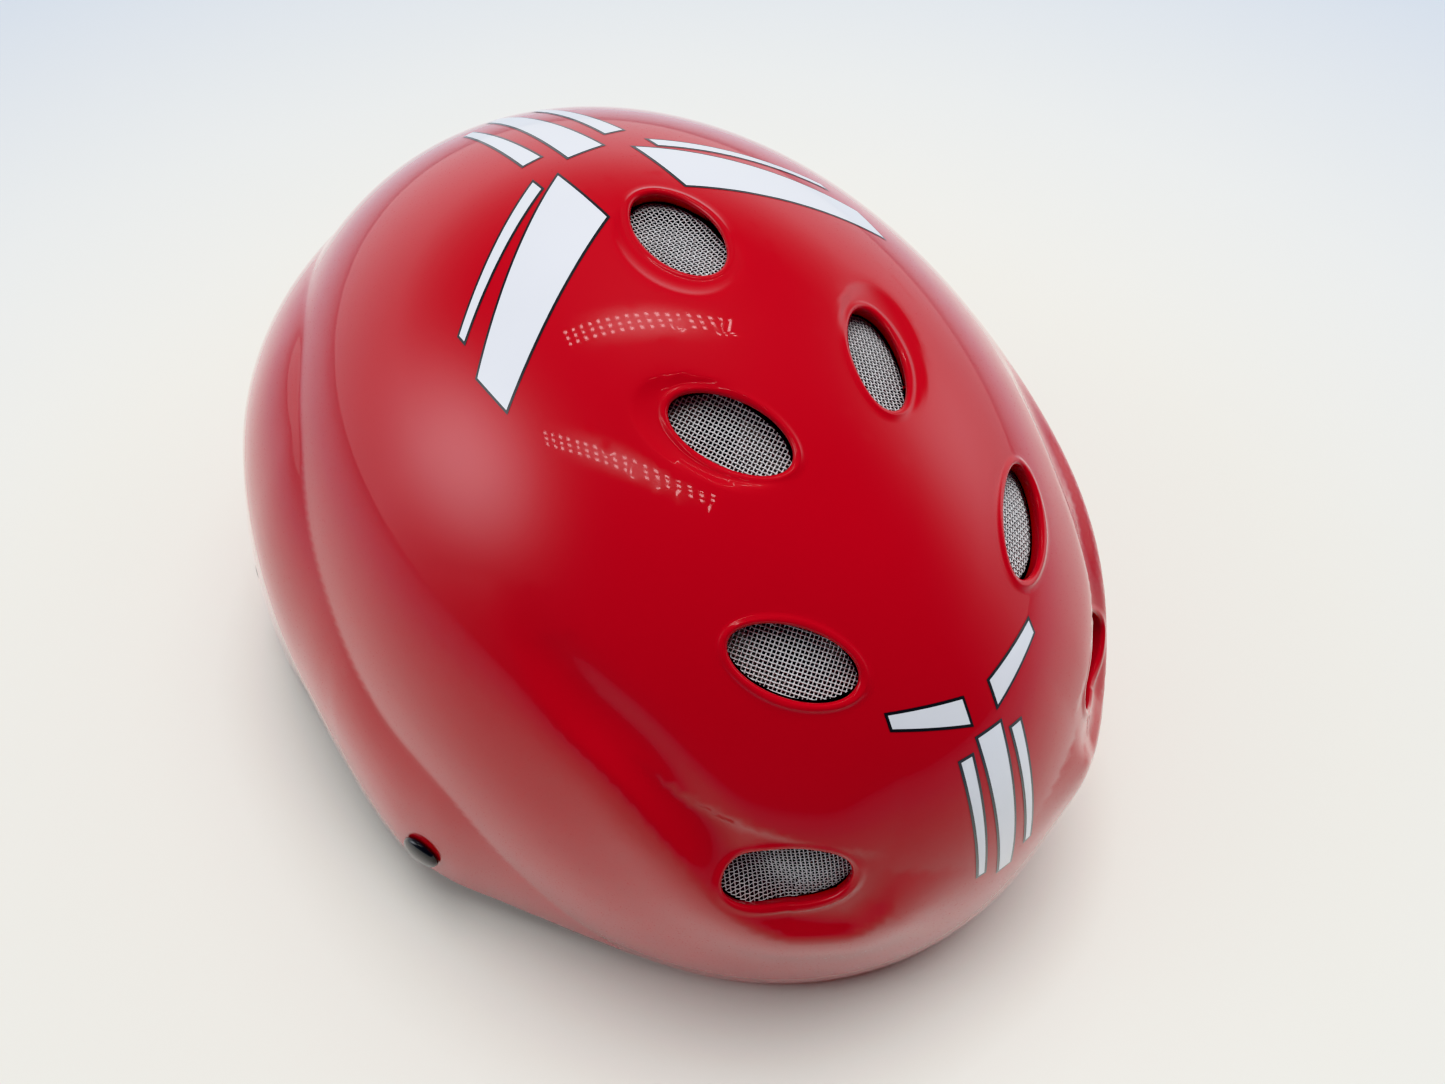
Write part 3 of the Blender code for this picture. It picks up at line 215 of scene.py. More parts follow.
# Harness: the straps lie folded in, and swing on the hangers' bars.
WEBBING_WIDTH = 0.016
WEBBING_THICKNESS = 0.0012
WEBBING_RIB = 0.0011
CLEARANCE = 0.0003
SEWN_GAP = 0.00025
SEWN_HALF = 0.0052
SEWN_START = 0.0085
SEWN_LENGTH = 0.0072
# Length, gap and thread radius of the stitches in the webbing.
WEBBING_STITCH = (0.0013, 0.0007, 0.00016)
LOOP_RADIUS = 0.0026
LOOP_NECK = 0.0065
LOOP_TAIL = 0.017
# Past its sewn end the webbing comes down to the strap's plane over this length.
LEVEL_OUT = 0.015
STRAP_REACH = 0.072
STRAP_DROP_ANGLE = math.radians(8.6)
JUNCTION_Y = 0.014
TURN_RADIUS = 0.0095
CHIN_REACH = 0.070
CHIN_SLOPE = (-0.010, -0.022)
CHIN_LEVEL = 0.0042
CHIN_STRAP_START = JUNCTION_Y + 0.009
PLUG_TAIL = 0.026
# Chin pad: half sizes of the slot for the strap, and where its seams lie as a share of its half length.
SLEEVE_SLOT = (0.0088, 0.0021)
SLEEVE_CORNER = 3.5
SLEEVE_SEAM = 0.82
RIVETS = {"front": (198.4, 99.2), "rear": (152.0, 99.2)}
RIVET_RADIUS = 0.0052
RIVET_HEIGHT = 0.0026
RIVET_LIFT = 0.00012
RIVET_SHANK = 0.0022
RIVET_DEPTH = 0.008
PLASTIC_EDGE = 0.00035
RUBBER_EDGE = 0.0003
SCREW_EDGE = 0.0002
DECAL_EDGE = 0.0007
DECAL_LIFT = 0.00006


def curve_value(keys, at):
    """A smooth curve through (position, value) keys that never overshoots them, constant beyond the ends."""
    x = np.array([key[0] for key in keys], float)
    y = np.array([key[1] for key in keys], float)
    step = np.diff(x)
    slope = np.diff(y) / step
    tangent = np.zeros(len(x))
    before, after = slope[:-1], slope[1:]
    same_way = before * after > 0
    tangent[1:-1][same_way] = 2 * before[same_way] * after[same_way] / (before + after)[same_way]
    at = np.clip(np.asarray(at, float), x[0], x[-1])
    i = np.clip(np.searchsorted(x, at, side="right") - 1, 0, len(x) - 2)
    t = (at - x[i]) / step[i]
    rise = y[i] + (3 * t**2 - 2 * t**3) * (y[i + 1] - y[i])
    return rise + step[i] * ((t**3 - 2 * t**2 + t) * tangent[i] + (t**3 - t**2) * tangent[i + 1])


def direction(azimuth, polar):
    """Unit vectors for azimuths and polar angles in degrees."""
    azimuth, polar = np.radians(azimuth), np.radians(polar)
    return np.stack([np.sin(polar) * np.cos(azimuth), np.sin(polar) * np.sin(azimuth), np.cos(polar)], -1)


def angles(unit):
    """Azimuth and polar angle in degrees of unit vectors."""
    azimuth = np.degrees(np.arctan2(unit[..., 1], unit[..., 0])) % 360
    return azimuth, np.degrees(np.arccos(np.clip(unit[..., 2], -1, 1)))


def unit_vectors(vectors):
    return vectors / np.maximum(np.linalg.norm(vectors, axis=-1, keepdims=True), 1e-12)


def angle_from_nape(azimuth):
    return np.abs((np.asarray(azimuth) - 90 + 180) % 360 - 180)


def dome(unit):
    """Points and outward normals of the plain dome and the wall below it, for directions from its centre."""
    azimuth, polar = np.radians(angles(unit))
    length = np.where(np.sin(azimuth) < 0, FRONT_LENGTH, BACK_LENGTH)
    drop = np.maximum(polar - np.pi / 2, 0) * CROWN_RISE
    tuck = 1 - WALL_TUCK * (drop / EQUATOR_HEIGHT) ** 2
    reach = np.where(drop > 0, tuck, np.sin(polar))
    height = np.where(drop > 0, -drop, CROWN_RISE * np.cos(polar))
    x, y = reach * np.cos(azimuth), reach * np.sin(azimuth)
    points = np.stack([HALF_WIDTH * x, MIDDLE_SHIFT + length * y, EQUATOR_HEIGHT + height], -1)
    tuck_slope = -2 * WALL_TUCK * drop / EQUATOR_HEIGHT**2 * tuck
    upward = np.where(drop > 0, tuck_slope, height / CROWN_RISE**2)
    normals = np.stack([x / HALF_WIDTH, y / length, upward], -1)
    return points, unit_vectors(normals)


def dome_direction(point):
    """Direction from the dome's centre for a point near the dome's upper part."""
    y = point[..., 1] - MIDDLE_SHIFT
    length = np.where(y < 0, FRONT_LENGTH, BACK_LENGTH)
    height = point[..., 2] - EQUATOR_HEIGHT
    return unit_vectors(np.stack([point[..., 0] / HALF_WIDTH, y / length, height / CROWN_RISE], -1))


def rim_polar(azimuth, height_keys=RIM_HEIGHT, raised=0.0):
    """Polar angle at which the wall reaches the height that the keys give."""
    height = curve_value(height_keys, angle_from_nape(azimuth)) + raised
    return 90 + np.degrees((EQUATOR_HEIGHT - height) / CROWN_RISE)


def skirt(azimuth, polar):
    """How far the skirt stands out from the dome: crease, shelf, ridge, then the flare down to the rim."""
    around = angle_from_nape(azimuth)
    crease = curve_value(CREASE_POLAR, around)
    rim = rim_polar(azimuth)
    rim_flare = curve_value(RIM_FLARE, around)
    ridge = np.where(around < RIDGE_END, np.minimum(curve_value(RIDGE_POLAR, around), rim), rim)
    ridge_flare = np.where(around < RIDGE_END, curve_value(RIDGE_FLARE, around), rim_flare)
    past = polar - crease
    past = 0.5 * (past + np.sqrt(past**2 + CREASE_SOFTNESS**2))
    shelf = 1 - (1 - np.clip(past / np.maximum(ridge - crease, 1), 0, 1)) ** SHELF_POWER
    flare = np.clip((polar - ridge) / np.maximum(rim - ridge, 1), 0, 1) ** FLARE_POWER
    return np.where(around < CREASE_END, shelf * ridge_flare + flare * (rim_flare - ridge_flare), 0)


def chain_of(keys, samples=400):
    """Directions along a smooth line through (azimuth, polar angle) keys."""
    along = np.linspace(0, len(keys) - 1, samples)
    azimuth = curve_value([(i, key[0]) for i, key in enumerate(keys)], along)
    polar = curve_value([(i, key[1]) for i, key in enumerate(keys)], along)
    return direction(azimuth, polar)


def beside(unit, chain):
    """Distance in metres to a line of the left side, positive below it, and the share of its length."""
    unit = np.column_stack([-np.abs(unit[:, 0]), unit[:, 1:]])
    nearest = np.argmax(unit @ chain.T, axis=1)
    inner = np.clip(nearest, 1, len(chain) - 2)
    tangent = unit_vectors(chain[inner + 1] - chain[inner - 1])
    away = (unit - chain[nearest]) * MEAN_RADIUS
    side = np.einsum("ij,ij->i", np.cross(tangent, away), unit)
    ends = (nearest == 0) | (nearest == len(chain) - 1)
    distance = np.where(ends, np.linalg.norm(away, axis=1), np.abs(side))
    shift = np.einsum("ij,ij->i", away, tangent) / MEAN_RADIUS
    pace = np.linalg.norm(np.diff(chain, axis=0), axis=1).mean()
    along = (nearest + np.clip(shift / pace, -1, 1)) / (len(chain) - 1)
    return np.where(side < 0, distance, -distance), np.clip(along, 0, 1)


def smooth_step(value):
    value = np.clip(value, 0, 1)
    return value * value * (3 - 2 * value)


def swoosh(unit):
    """Swept ridge, the channel beside it on the vent's side, and the fold above the channel."""
    below, along = beside(unit, chain_of(SWOOSH))
    fade = smooth_step(along / 0.45) * smooth_step((1 - along) / 0.16)
    width = np.where(below > 0, SWOOSH_LOWER_WIDTH, SWOOSH_UPPER_WIDTH)
    ridge = SWOOSH_HEIGHT * fade * np.exp(-((below / width) ** 2))
    channel = CHANNEL_DEPTH * smooth_step(along / 0.3) * smooth_step((0.8 - along) / 0.25)
    channel = channel * np.exp(-(((below + CHANNEL_OFFSET) / CHANNEL_WIDTH) ** 2))
    under, along = beside(unit, chain_of(FOLD))
    fade = smooth_step(along / 0.35) * smooth_step((1 - along) / 0.3)
    width = np.where(under > 0, FOLD_LOWER_WIDTH, FOLD_UPPER_WIDTH)
    fold = FOLD_HEIGHT * fade * np.exp(-((under / width) ** 2))
    return ridge - channel + fold


def vents():
    """All vents by name, those of the left side mirrored to the right."""
    found = dict(VENTS)
    for name, (centre, heading, half_length, half_width) in VENTS.items():
        if name.endswith("_left"):
            mirrored = ((-centre[0], centre[1]), (-heading[0], heading[1]), half_length, half_width)
            found[name.replace("_left", "_right")] = mirrored
    return found


def vent_frame(centre, heading):
    """Point on the dome at a plan position, and its long, short and normal axes."""
    x, y = centre
    height = math.sqrt(1 - (x / HALF_WIDTH) ** 2 - (y / FRONT_LENGTH) ** 2)
    point, normal = dome(np.array([x / HALF_WIDTH, y / FRONT_LENGTH, height]))
    rise = -(normal[0] * heading[0] + normal[1] * heading[1]) / normal[2]
    long_axis = unit_vectors(np.array([heading[0], heading[1], rise]))
    return point, long_axis, np.cross(normal, long_axis), normal


def vent_relief(points, lips=True):
    """The dished recesses beside some of the vents and, if wanted, the raised lips round all of them."""
    lift = np.zeros(len(points))
    for name, (centre, heading, half_length, half_width) in vents().items():
        origin, long_axis, short_axis, normal = vent_frame(centre, heading)
        rel = points - origin
        near = (np.linalg.norm(rel, axis=1) < 0.045) & (np.abs(rel @ normal) < 0.02)
        u, v = rel[near] @ long_axis, rel[near] @ short_axis
        if name in DISHES:
            along, across, dish_length, dish_width, depth = DISHES[name]
            rho = np.hypot((u - along) / dish_length, (v - across) / dish_width)
            inward = 0.5 * (1 - rho + np.sqrt((1 - rho) ** 2 + DISH_SOFTNESS**2))
            lift[near] -= depth * (1 - np.exp(-inward / DISH_FALL)) * (rho < 1.6)
        if lips:
            rho = np.hypot(u / half_length, v / half_width)
            distance = (1 - 1 / np.maximum(rho, 0.05)) * np.hypot(u, v)
            lift[near] += LIP_HEIGHT * np.exp(-(((distance - LIP_OFFSET) / LIP_WIDTH) ** 2))
    return lift


def broad_surface(unit):
    """Points and dome normals of the shell's outer face without the relief round the vents."""
    points, normals = dome(unit)
    return points + normals * (skirt(*angles(unit)) + swoosh(unit))[:, None], normals


def surface(unit):
    """Points of the shell's outer face, for directions from the dome's centre."""
    points, normals = broad_surface(unit)
    return points + normals * vent_relief(points)[:, None]


def surface_normals(unit, reach=0.0022):
    """Outward normals of the shell's outer face, from its slope on either side of each point."""
    helper = np.where(np.abs(unit[:, 2:3]) < 0.9, np.array([[0, 0, 1.0]]), np.array([[1.0, 0, 0]]))
    first = unit_vectors(np.cross(helper, unit))
    second = np.cross(unit, first)
    slope_first = surface(unit_vectors(unit + reach * first)) - surface(unit_vectors(unit - reach * first))
    slope_second = surface(unit_vectors(unit + reach * second)) - surface(unit_vectors(unit - reach * second))
    return unit_vectors(np.cross(slope_first, slope_second))


def to_plane(unit):
    """Stereographic plane, in which equal angles stay equal, so triangles keep their shape."""
    return unit[..., :2] / (1 + unit[..., 2:3])


def from_plane(plane):
    square = np.sum(plane**2, axis=-1, keepdims=True)
    return np.concatenate([2 * plane, 1 - square], -1) / (1 + square)


def inside(loop, points):
    """Whether each point of the plane lies inside the closed loop."""
    found = np.zeros(len(points), bool)
    for start, end in zip(loop, np.roll(loop, -1, axis=0)):
        if start[1] == end[1]:
            continue
        crosses = (start[1] > points[:, 1]) != (end[1] > points[:, 1])
        reach = start[0] + (points[:, 1] - start[1]) * (end[0] - start[0]) / (end[1] - start[1])
        found ^= crosses & (points[:, 0] < reach)
    return found


def triangulate(loops, extra):
    """Points and triangles of the plane inside the first loop and outside the others."""
    points, edges = [], []
    for loop in loops:
        first, count = len(points), len(loop)
        points.extend(loop)
        edges.extend((first + i, first + (i + 1) % count) for i in range(count))
    points.extend(extra)
    vectors = [Vector((float(x), float(y))) for x, y in points]
    found, _, faces, _, _, _ = delaunay_2d_cdt(vectors, edges, [], 0, 1e-8)
    plane = np.array([tuple(point) for point in found])
    faces = np.array(faces)
    middle = plane[faces].mean(axis=1)
    keep = inside(loops[0], middle)
    for hole in loops[1:]:
        keep &= ~inside(hole, middle)
    return plane, faces[keep]


def build(name, points, faces, material, normals=None):
    """A piece from points and faces, smooth, with its own vertex normals where they are given."""
    mesh = bpy.data.meshes.new(name)
    mesh.from_pydata(points.tolist(), [], [[int(corner) for corner in face] for face in faces])
    mesh.materials.append(material)
    mesh.shade_smooth()
    if normals is not None:
        mesh.normals_split_custom_set_from_vertices(normals.tolist())
    obj = bpy.data.objects.new(name, mesh)
    bpy.context.scene.collection.objects.link(obj)
    return obj


def ring_points(spacing, rim, hurdles, clear=0.62):
    """Directions in rings about the crown, evenly spaced, clear of the rim and of the hurdle points."""
    rings = []
    step = math.degrees(spacing / MEAN_RADIUS)
    for index in range(int(120 / step)):
        polar = index * step
        round_crown = 2 * math.pi * math.sin(math.radians(min(polar, 90))) * MEAN_RADIUS
        count = max(1, round(round_crown / spacing))
        azimuth = (np.arange(count) + 0.5 * (index % 2)) * 360 / count
        azimuth = azimuth[polar < rim(azimuth) - 0.6 * step]
        rings.append(direction(azimuth, np.full(len(azimuth), polar)))
    unit = np.concatenate(rings)
    limit = math.cos(clear * spacing / MEAN_RADIUS)
    for hurdle in hurdles:
        unit = unit[(unit @ hurdle.T).max(axis=1) < limit]
    return unit


def ellipse(vent, margin, steps):
    """Directions round a vent's ellipse, widened by the margin."""
    centre, heading, half_length, half_width = vent
    return laid_ellipse(centre, heading, (0, 0), (half_length + margin, half_width + margin), steps)


def laid_ellipse(centre, heading, shift, halves, steps):
    """Directions round an ellipse in a vent's own axes, shifted along and across them."""
    origin, long_axis, short_axis, _ = vent_frame(centre, heading)
    turn = np.arange(steps)[:, None] * 2 * math.pi / steps
    along = shift[0] + halves[0] * np.cos(turn)
    return dome_direction(origin + along * long_axis + (shift[1] + halves[1] * np.sin(turn)) * short_axis)


def dish_rows():
    """Rows of directions along the edge of each dish."""
    rows = []
    for name, (along, across, length, width, _) in DISHES.items():
        vent = vents()[name]
        outline = to_plane(ellipse(vent, VENT_EDGE_RADIUS + VENT_ROWS[-1], VENT_STEPS))
        for share in DISH_ROWS:
            row = laid_ellipse(*vent[:2], (along, across), (share * length, share * width), VENT_STEPS)
            rows.append(row[~inside(outline, to_plane(row))])
    return rows


def boundary_loops(faces):
    """Rows of vertices along the open edges, in the direction of the faces."""
    edges = {(face[i], face[(i + 1) % 3]) for face in faces.tolist() for i in range(3)}
    follows = {start: end for start, end in edges if (end, start) not in edges}
    loops = []
    while follows:
        start, after = follows.popitem()
        loop = [start]
        while after != start:
            loop.append(after)
            after = follows.pop(after)
        loops.append(loop)
    return loops


def rounded_skin(name, faces, outer, normals, inner, edge_radius, wall, material, full_round=()):
    """Closed shell from two skins: each open edge is rounded, then runs straight down the wall.

    An edge whose loop holds a vertex of full_round is a half round from one skin to the other instead.
    """
    count = len(outer)
    points, directions = [outer, inner], [normals, -normals]
    made = [tuple(face) for face in faces.tolist()]
    made += [(a + count, c + count, b + count) for a, b, c in faces.tolist()]
    total = 2 * count
    wall = np.broadcast_to(wall, count)[:, None]
    for loop in boundary_loops(faces):
        ring = np.array(loop)
        along = outer[np.roll(ring, -1)] - outer[np.roll(ring, 1)]
        away = unit_vectors(np.cross(along, normals[ring]))
        thickness = outer[ring] - inner[ring]
        half_round = bool(full_round) and loop[0] in full_round
        turns = np.radians(np.arange(22.5, 180, 22.5) if half_round else np.arange(18, 91, 18))
        previous = ring
        for turn in turns:
            facing = math.cos(turn) * normals[ring] + math.sin(turn) * away
            if half_round:
                reach = np.linalg.norm(thickness, axis=1, keepdims=True) / 2
                place = outer[ring] - thickness * (1 - math.cos(turn)) / 2 + reach * math.sin(turn) * away
            else:
                inward = (1 - math.cos(turn)) * normals[ring]
                place = outer[ring] + edge_radius * (math.sin(turn) * away - inward)
            points.append(place)
            directions.append(facing)
            previous, total = link(made, previous, total, len(ring))
        if not half_round:
            points.append(outer[ring] + edge_radius * away - wall[ring] * normals[ring])
            directions.append(away)
            previous, total = link(made, previous, total, len(ring))
        link_to(made, previous, ring + count)
    return build(name, np.concatenate(points), made, material, np.concatenate(directions))


def link(faces, previous, total, size):
    """Joins a ring to a new one whose points start at total, and returns it with the next free point."""
    ring = total + np.arange(size)
    link_to(faces, previous, ring)
    return ring, total + size


def link_to(faces, first, second):
    for i in range(len(first)):
        j = (i + 1) % len(first)
        faces.append((first[j], first[i], second[i], second[j]))


def skin_grid(spacing, rim, loops, chains=()):
    """Directions and triangles of a skin that ends at the rim and at the loops, with extra rows of points."""
    planes = [to_plane(rim), *[to_plane(loop) for loop in loops]]
    fill = ring_points(spacing, lambda azimuth: angles(rim_at(rim, azimuth))[1], [rim, *loops, *chains])
    extra = [fill, *chains]
    extra = to_plane(np.concatenate(extra))
    for hole in planes[1:]:
        extra = extra[~inside(hole, extra)]
    plane, faces = triangulate(planes, extra)
    unit = from_plane(plane)
    corners = unit[faces[0]]
    if np.dot(np.cross(corners[1] - corners[0], corners[2] - corners[0]), corners[0]) < 0:
        faces = faces[:, ::-1]
    return unit, faces


def rim_at(rim, azimuth):
    """Directions of the rim at the azimuths, from its own row of directions."""
    around, polar = angles(rim)
    order = np.argsort(around)
    x = np.concatenate([around[order] - 360, around[order], around[order] + 360])
    return direction(azimuth, np.interp(np.asarray(azimuth) % 360, x, np.tile(polar[order], 3)))


def even_rim(spacing, keys, raised=0.0):
    count = round(math.pi * (HALF_WIDTH + FRONT_LENGTH) / spacing)
    azimuth = np.arange(count) * 360 / count
    return direction(azimuth, rim_polar(azimuth, keys, raised))


def crease_rows(spacing):
    """Rows of directions along both sides of the skirt's crease, closer together than the rest."""
    end = CREASE_END - 4
    around = np.linspace(-end, end, round(2 * math.radians(end) * MEAN_RADIUS / spacing))
    crease = curve_value(CREASE_POLAR, np.abs(around))
    return [direction(90 + around, crease + shift) for shift in (-1.1, -0.4, 0.3, 1.1)]


def shell_rim():
    """Directions at which the flared surface is half a wall above the rim, where its rounding starts."""
    azimuth, polar = angles(even_rim(SURFACE_SPACING, RIM_HEIGHT, SHELL_THICKNESS / 2))
    wanted = curve_value(RIM_HEIGHT, angle_from_nape(azimuth)) + SHELL_THICKNESS / 2
    for _ in range(3):
        height = broad_surface(direction(azimuth, polar))[0][:, 2]
        polar = polar + np.degrees((height - wanted) / CROWN_RISE)
    return direction(azimuth, polar)


def make_shell():
    vent_rows = [ellipse(vent, VENT_EDGE_RADIUS, VENT_STEPS) for vent in vents().values()]
    near_rows = [
        ellipse(vent, VENT_EDGE_RADIUS + step, VENT_STEPS)
        for vent in vents().values()
        for step in VENT_ROWS
    ]
    rim = shell_rim()
    rows = [*near_rows, *dish_rows(), *crease_rows(SURFACE_SPACING)]
    unit, faces = skin_grid(SURFACE_SPACING, rim, vent_rows, rows)
    outer, normals = surface(unit), surface_normals(unit)
    inner = outer - SHELL_THICKNESS * normals
    azimuth, polar = angles(unit)
    on_rim = set(np.flatnonzero(polar > angles(rim_at(rim, azimuth))[1] - 0.05).tolist())
    shell = rounded_skin(
        "shell", faces, outer, normals, inner, VENT_EDGE_RADIUS, VENT_WALL, lacquer(), full_round=on_rim
    )
    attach(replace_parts(shell, "outer_shell"), "root")


def nodes_of(name):
    """A new material, its node tree and its Principled shader."""
    material = bpy.data.materials.new(name)
    material.use_nodes = True
    tree = material.node_tree
    return material, tree, tree.nodes["Principled BSDF"]


def feed(tree, node, inputs):
    """Links each input to another node's output, or sets it to a constant."""
    for key, value in inputs.items():
        if isinstance(value, bpy.types.NodeSocket):
            tree.links.new(value, node.inputs[key])
        else:
            node.inputs[key].default_value = value


def add_node(tree, kind, inputs=None, **settings):
    node = tree.nodes.new(kind)
    for key, value in settings.items():
        setattr(node, key, value)
    feed(tree, node, inputs or {})
    return node


def maths(tree, operation, *values):
    return add_node(tree, "ShaderNodeMath", dict(enumerate(values)), operation=operation).outputs[0]


def dot(tree, vector, other):
    inputs = {0: vector, 1: other}
    return add_node(tree, "ShaderNodeVectorMath", inputs, operation="DOT_PRODUCT").outputs["Value"]


def object_place(tree):
    return add_node(tree, "ShaderNodeTexCoord").outputs["Object"]


def noise(tree, scale, detail=2.0, roughness=0.5):
    inputs = {"Vector": object_place(tree), "Scale": scale, "Detail": detail, "Roughness": roughness}
    return add_node(tree, "ShaderNodeTexNoise", inputs).outputs["Fac"]


def to_range(tree, value, low, high, start=0.0, end=1.0):
    inputs = {"Value": value, "From Min": start, "From Max": end, "To Min": low, "To Max": high}
    return add_node(tree, "ShaderNodeMapRange", inputs).outputs["Result"]


def colour_between(tree, factor, first, second):
    """Mix of two colours, each a triple or another node's output."""
    node = add_node(tree, "ShaderNodeMix", data_type="RGBA")
    ends = [end if isinstance(end, bpy.types.NodeSocket) else (*end, 1) for end in (first, second)]
    feed(tree, node, {"Factor": factor, "A": ends[0], "B": ends[1]})
    return node.outputs["Result"]


def bump(tree, height, distance, strength=1.0):
    inputs = {"Height": height, "Distance": distance, "Strength": strength}
    return add_node(tree, "ShaderNodeBump", inputs).outputs["Normal"]


def multiply(tree, first, second):
    return maths(tree, "MULTIPLY", first, second)


def lacquer():
    """Injection-moulded shell under a clear coat: faint orange peel, slow colour drift and a little dust."""
    material, tree, shader = nodes_of("red_lacquer")
    dust = to_range(tree, noise(tree, 2400, 0), 0, 1, 0.72, 0.82)
    haze = to_range(tree, noise(tree, 35, 4), 0.26, 0.36)
    feed(tree, shader, {
        "Base Color": colour_between(tree, noise(tree, 14), (0.40, 0.0008, 0.006), (0.47, 0.0012, 0.009)),
        "Roughness": maths(tree, "ADD", haze, multiply(tree, dust, 0.2)),
        "Coat Normal": bump(tree, noise(tree, 240, 1), 0.00002, 0.35),
        "Normal": bump(tree, noise(tree, 700, 2), 0.00001, 0.3),
        "Specular IOR Level": 0.15,
        "Coat Weight": 1.0,
        "Coat Roughness": 0.035,
        "Coat IOR": 1.45,
    })
    return material


def moulded(name, colour, roughness, grain=900, depth=0.00003):
    """Moulded plastic or rubber with a fine sparked grain and slightly uneven gloss."""
    material, tree, shader = nodes_of(name)
    lighter = tuple(1.35 * part + 0.002 for part in colour)
    feed(tree, shader, {
        "Base Color": colour_between(tree, noise(tree, 60, 3), colour, lighter),
        "Roughness": to_range(tree, noise(tree, 120, 3), roughness - 0.06, roughness + 0.08),
        "Normal": bump(tree, noise(tree, grain, 3), depth, 0.6),
    })
    return material


def steel(name, colour=(0.60, 0.60, 0.61), roughness=0.25, metallic=1.0):
    """Drawn stainless wire or a machined screw, with faint scuffs."""
    material, tree, shader = nodes_of(name)
    duller = tuple(0.72 * part for part in colour)
    feed(tree, shader, {
        "Base Color": colour_between(tree, noise(tree, 300, 3), duller, colour),
        "Roughness": to_range(tree, noise(tree, 900, 2), roughness, roughness + 0.16),
        "Normal": bump(tree, noise(tree, 2500, 2), 0.00001, 0.4),
        "Metallic": metallic,
    })
    return material


def printed(name, colour, roughness=0.3):
    """Decal film under the same clear coat as the shell."""
    material, tree, shader = nodes_of(name)
    darker = tuple(0.9 * part for part in colour)
    feed(tree, shader, {
        "Base Color": colour_between(tree, noise(tree, 50, 3), darker, colour),
        "Roughness": to_range(tree, noise(tree, 200, 2), roughness, roughness + 0.1),
        "Coat Normal": bump(tree, noise(tree, 240, 1), 0.00002, 0.35),
        "Coat Weight": 1.0,
        "Coat Roughness": 0.04,
    })
    return material


def tube_faces(rings, sides, closed=False, first=0):
    """Quads between successive rings of points, and from the last ring back to the first if closed."""
    faces = []
    for i in range(rings if closed else rings - 1):
        a, b = first + sides * i, first + sides * ((i + 1) % rings)
        faces.extend((a + k, b + k, b + (k + 1) % sides, a + (k + 1) % sides) for k in range(sides))
    return faces


def wire(along, across, origin, chord, offset, phase):
    """One wavy wire of the cloth: its points, four round each station."""
    steps = max(2, round(2 * chord / WIRE_PITCH * 3))
    at = np.linspace(-chord, chord, steps + 1)
    base, normals = broad_surface(dome_direction(origin + at[:, None] * along + offset * across))
    wave = np.cos(np.pi * (at / WIRE_PITCH + phase)) * WIRE_RADIUS * WIRE_CRIMP
    dished = vent_relief(base, lips=False)
    line = base + normals * (wave + dished - WIRE_DEPTH)[:, None]
    sideways = np.cross(unit_vectors(np.gradient(line, axis=0)), normals)
    spokes = np.stack([normals, sideways, -normals, -sideways], 1)
    return (line[:, None] + WIRE_RADIUS * spokes).reshape(-1, 3)


def wires(vent, material, name):
    """Plain-woven wire cloth that follows the shell under a vent."""
    centre, heading, half_length, half_width = vent
    origin, long_axis, short_axis, _ = vent_frame(centre, heading)
    length, width = half_length + WIRE_MARGIN, half_width + WIRE_MARGIN
    points, faces = [], []
    for along, across, reach, span, side in (
        (long_axis, short_axis, length, width, 0),
        (short_axis, long_axis, width, length, 1),
    ):
        for row in range(-int(span / WIRE_PITCH), int(span / WIRE_PITCH) + 1):
            offset = row * WIRE_PITCH
            chord = reach * math.sqrt(max(1 - (offset / span) ** 2, 0))
            if chord < 2 * WIRE_PITCH:
                continue
            first = len(points)
            points.extend(wire(along, across, origin, chord, offset, row + side))
            end = len(points) - 4
            faces.extend(tube_faces((len(points) - first) // 4, 4, first=first))
            faces.extend([(first, first + 1, first + 2, first + 3), (end + 3, end + 2, end + 1, end)])
    return build(name, np.array(points), faces, material)


def make_wire_cloth():
    material = steel("vent_wire", (0.92, 0.92, 0.93), 0.3, 0.2)
    for name, vent in vents().items():
        cloth = wires(vent, material, f"wire_cloth_{name}")
        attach(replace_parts(cloth, f"vent_mesh_{name}"), "root")


def liner_thickness(unit):
    """Foam thickness, which grows towards the brow and the nape."""
    return LINER_SIDE_THICKNESS + (LINER_END_THICKNESS - LINER_SIDE_THICKNESS) * unit[..., 1] ** 2


def under_dome(unit, depth):
    points, normals = dome(unit)
    return points - normals * (LINER_GAP + depth)[..., None]


def foam():
    """Black expanded foam: pressed beads with darker joints between them."""
    material, tree, shader = nodes_of("liner_foam")
    inputs = {"Vector": object_place(tree), "Scale": 330.0, "Randomness": 0.9}
    beads = add_node(tree, "ShaderNodeTexVoronoi", inputs, feature="DISTANCE_TO_EDGE").outputs["Distance"]
    joint = to_range(tree, beads, 0, 1, 0.0, 0.09)
    feed(tree, shader, {
        "Base Color": colour_between(tree, joint, (0.010, 0.010, 0.011), (0.030, 0.030, 0.032)),
        "Roughness": to_range(tree, noise(tree, 90, 4), 0.62, 0.85),
        "Normal": bump(tree, joint, 0.00022, 0.8),
    })
    return material


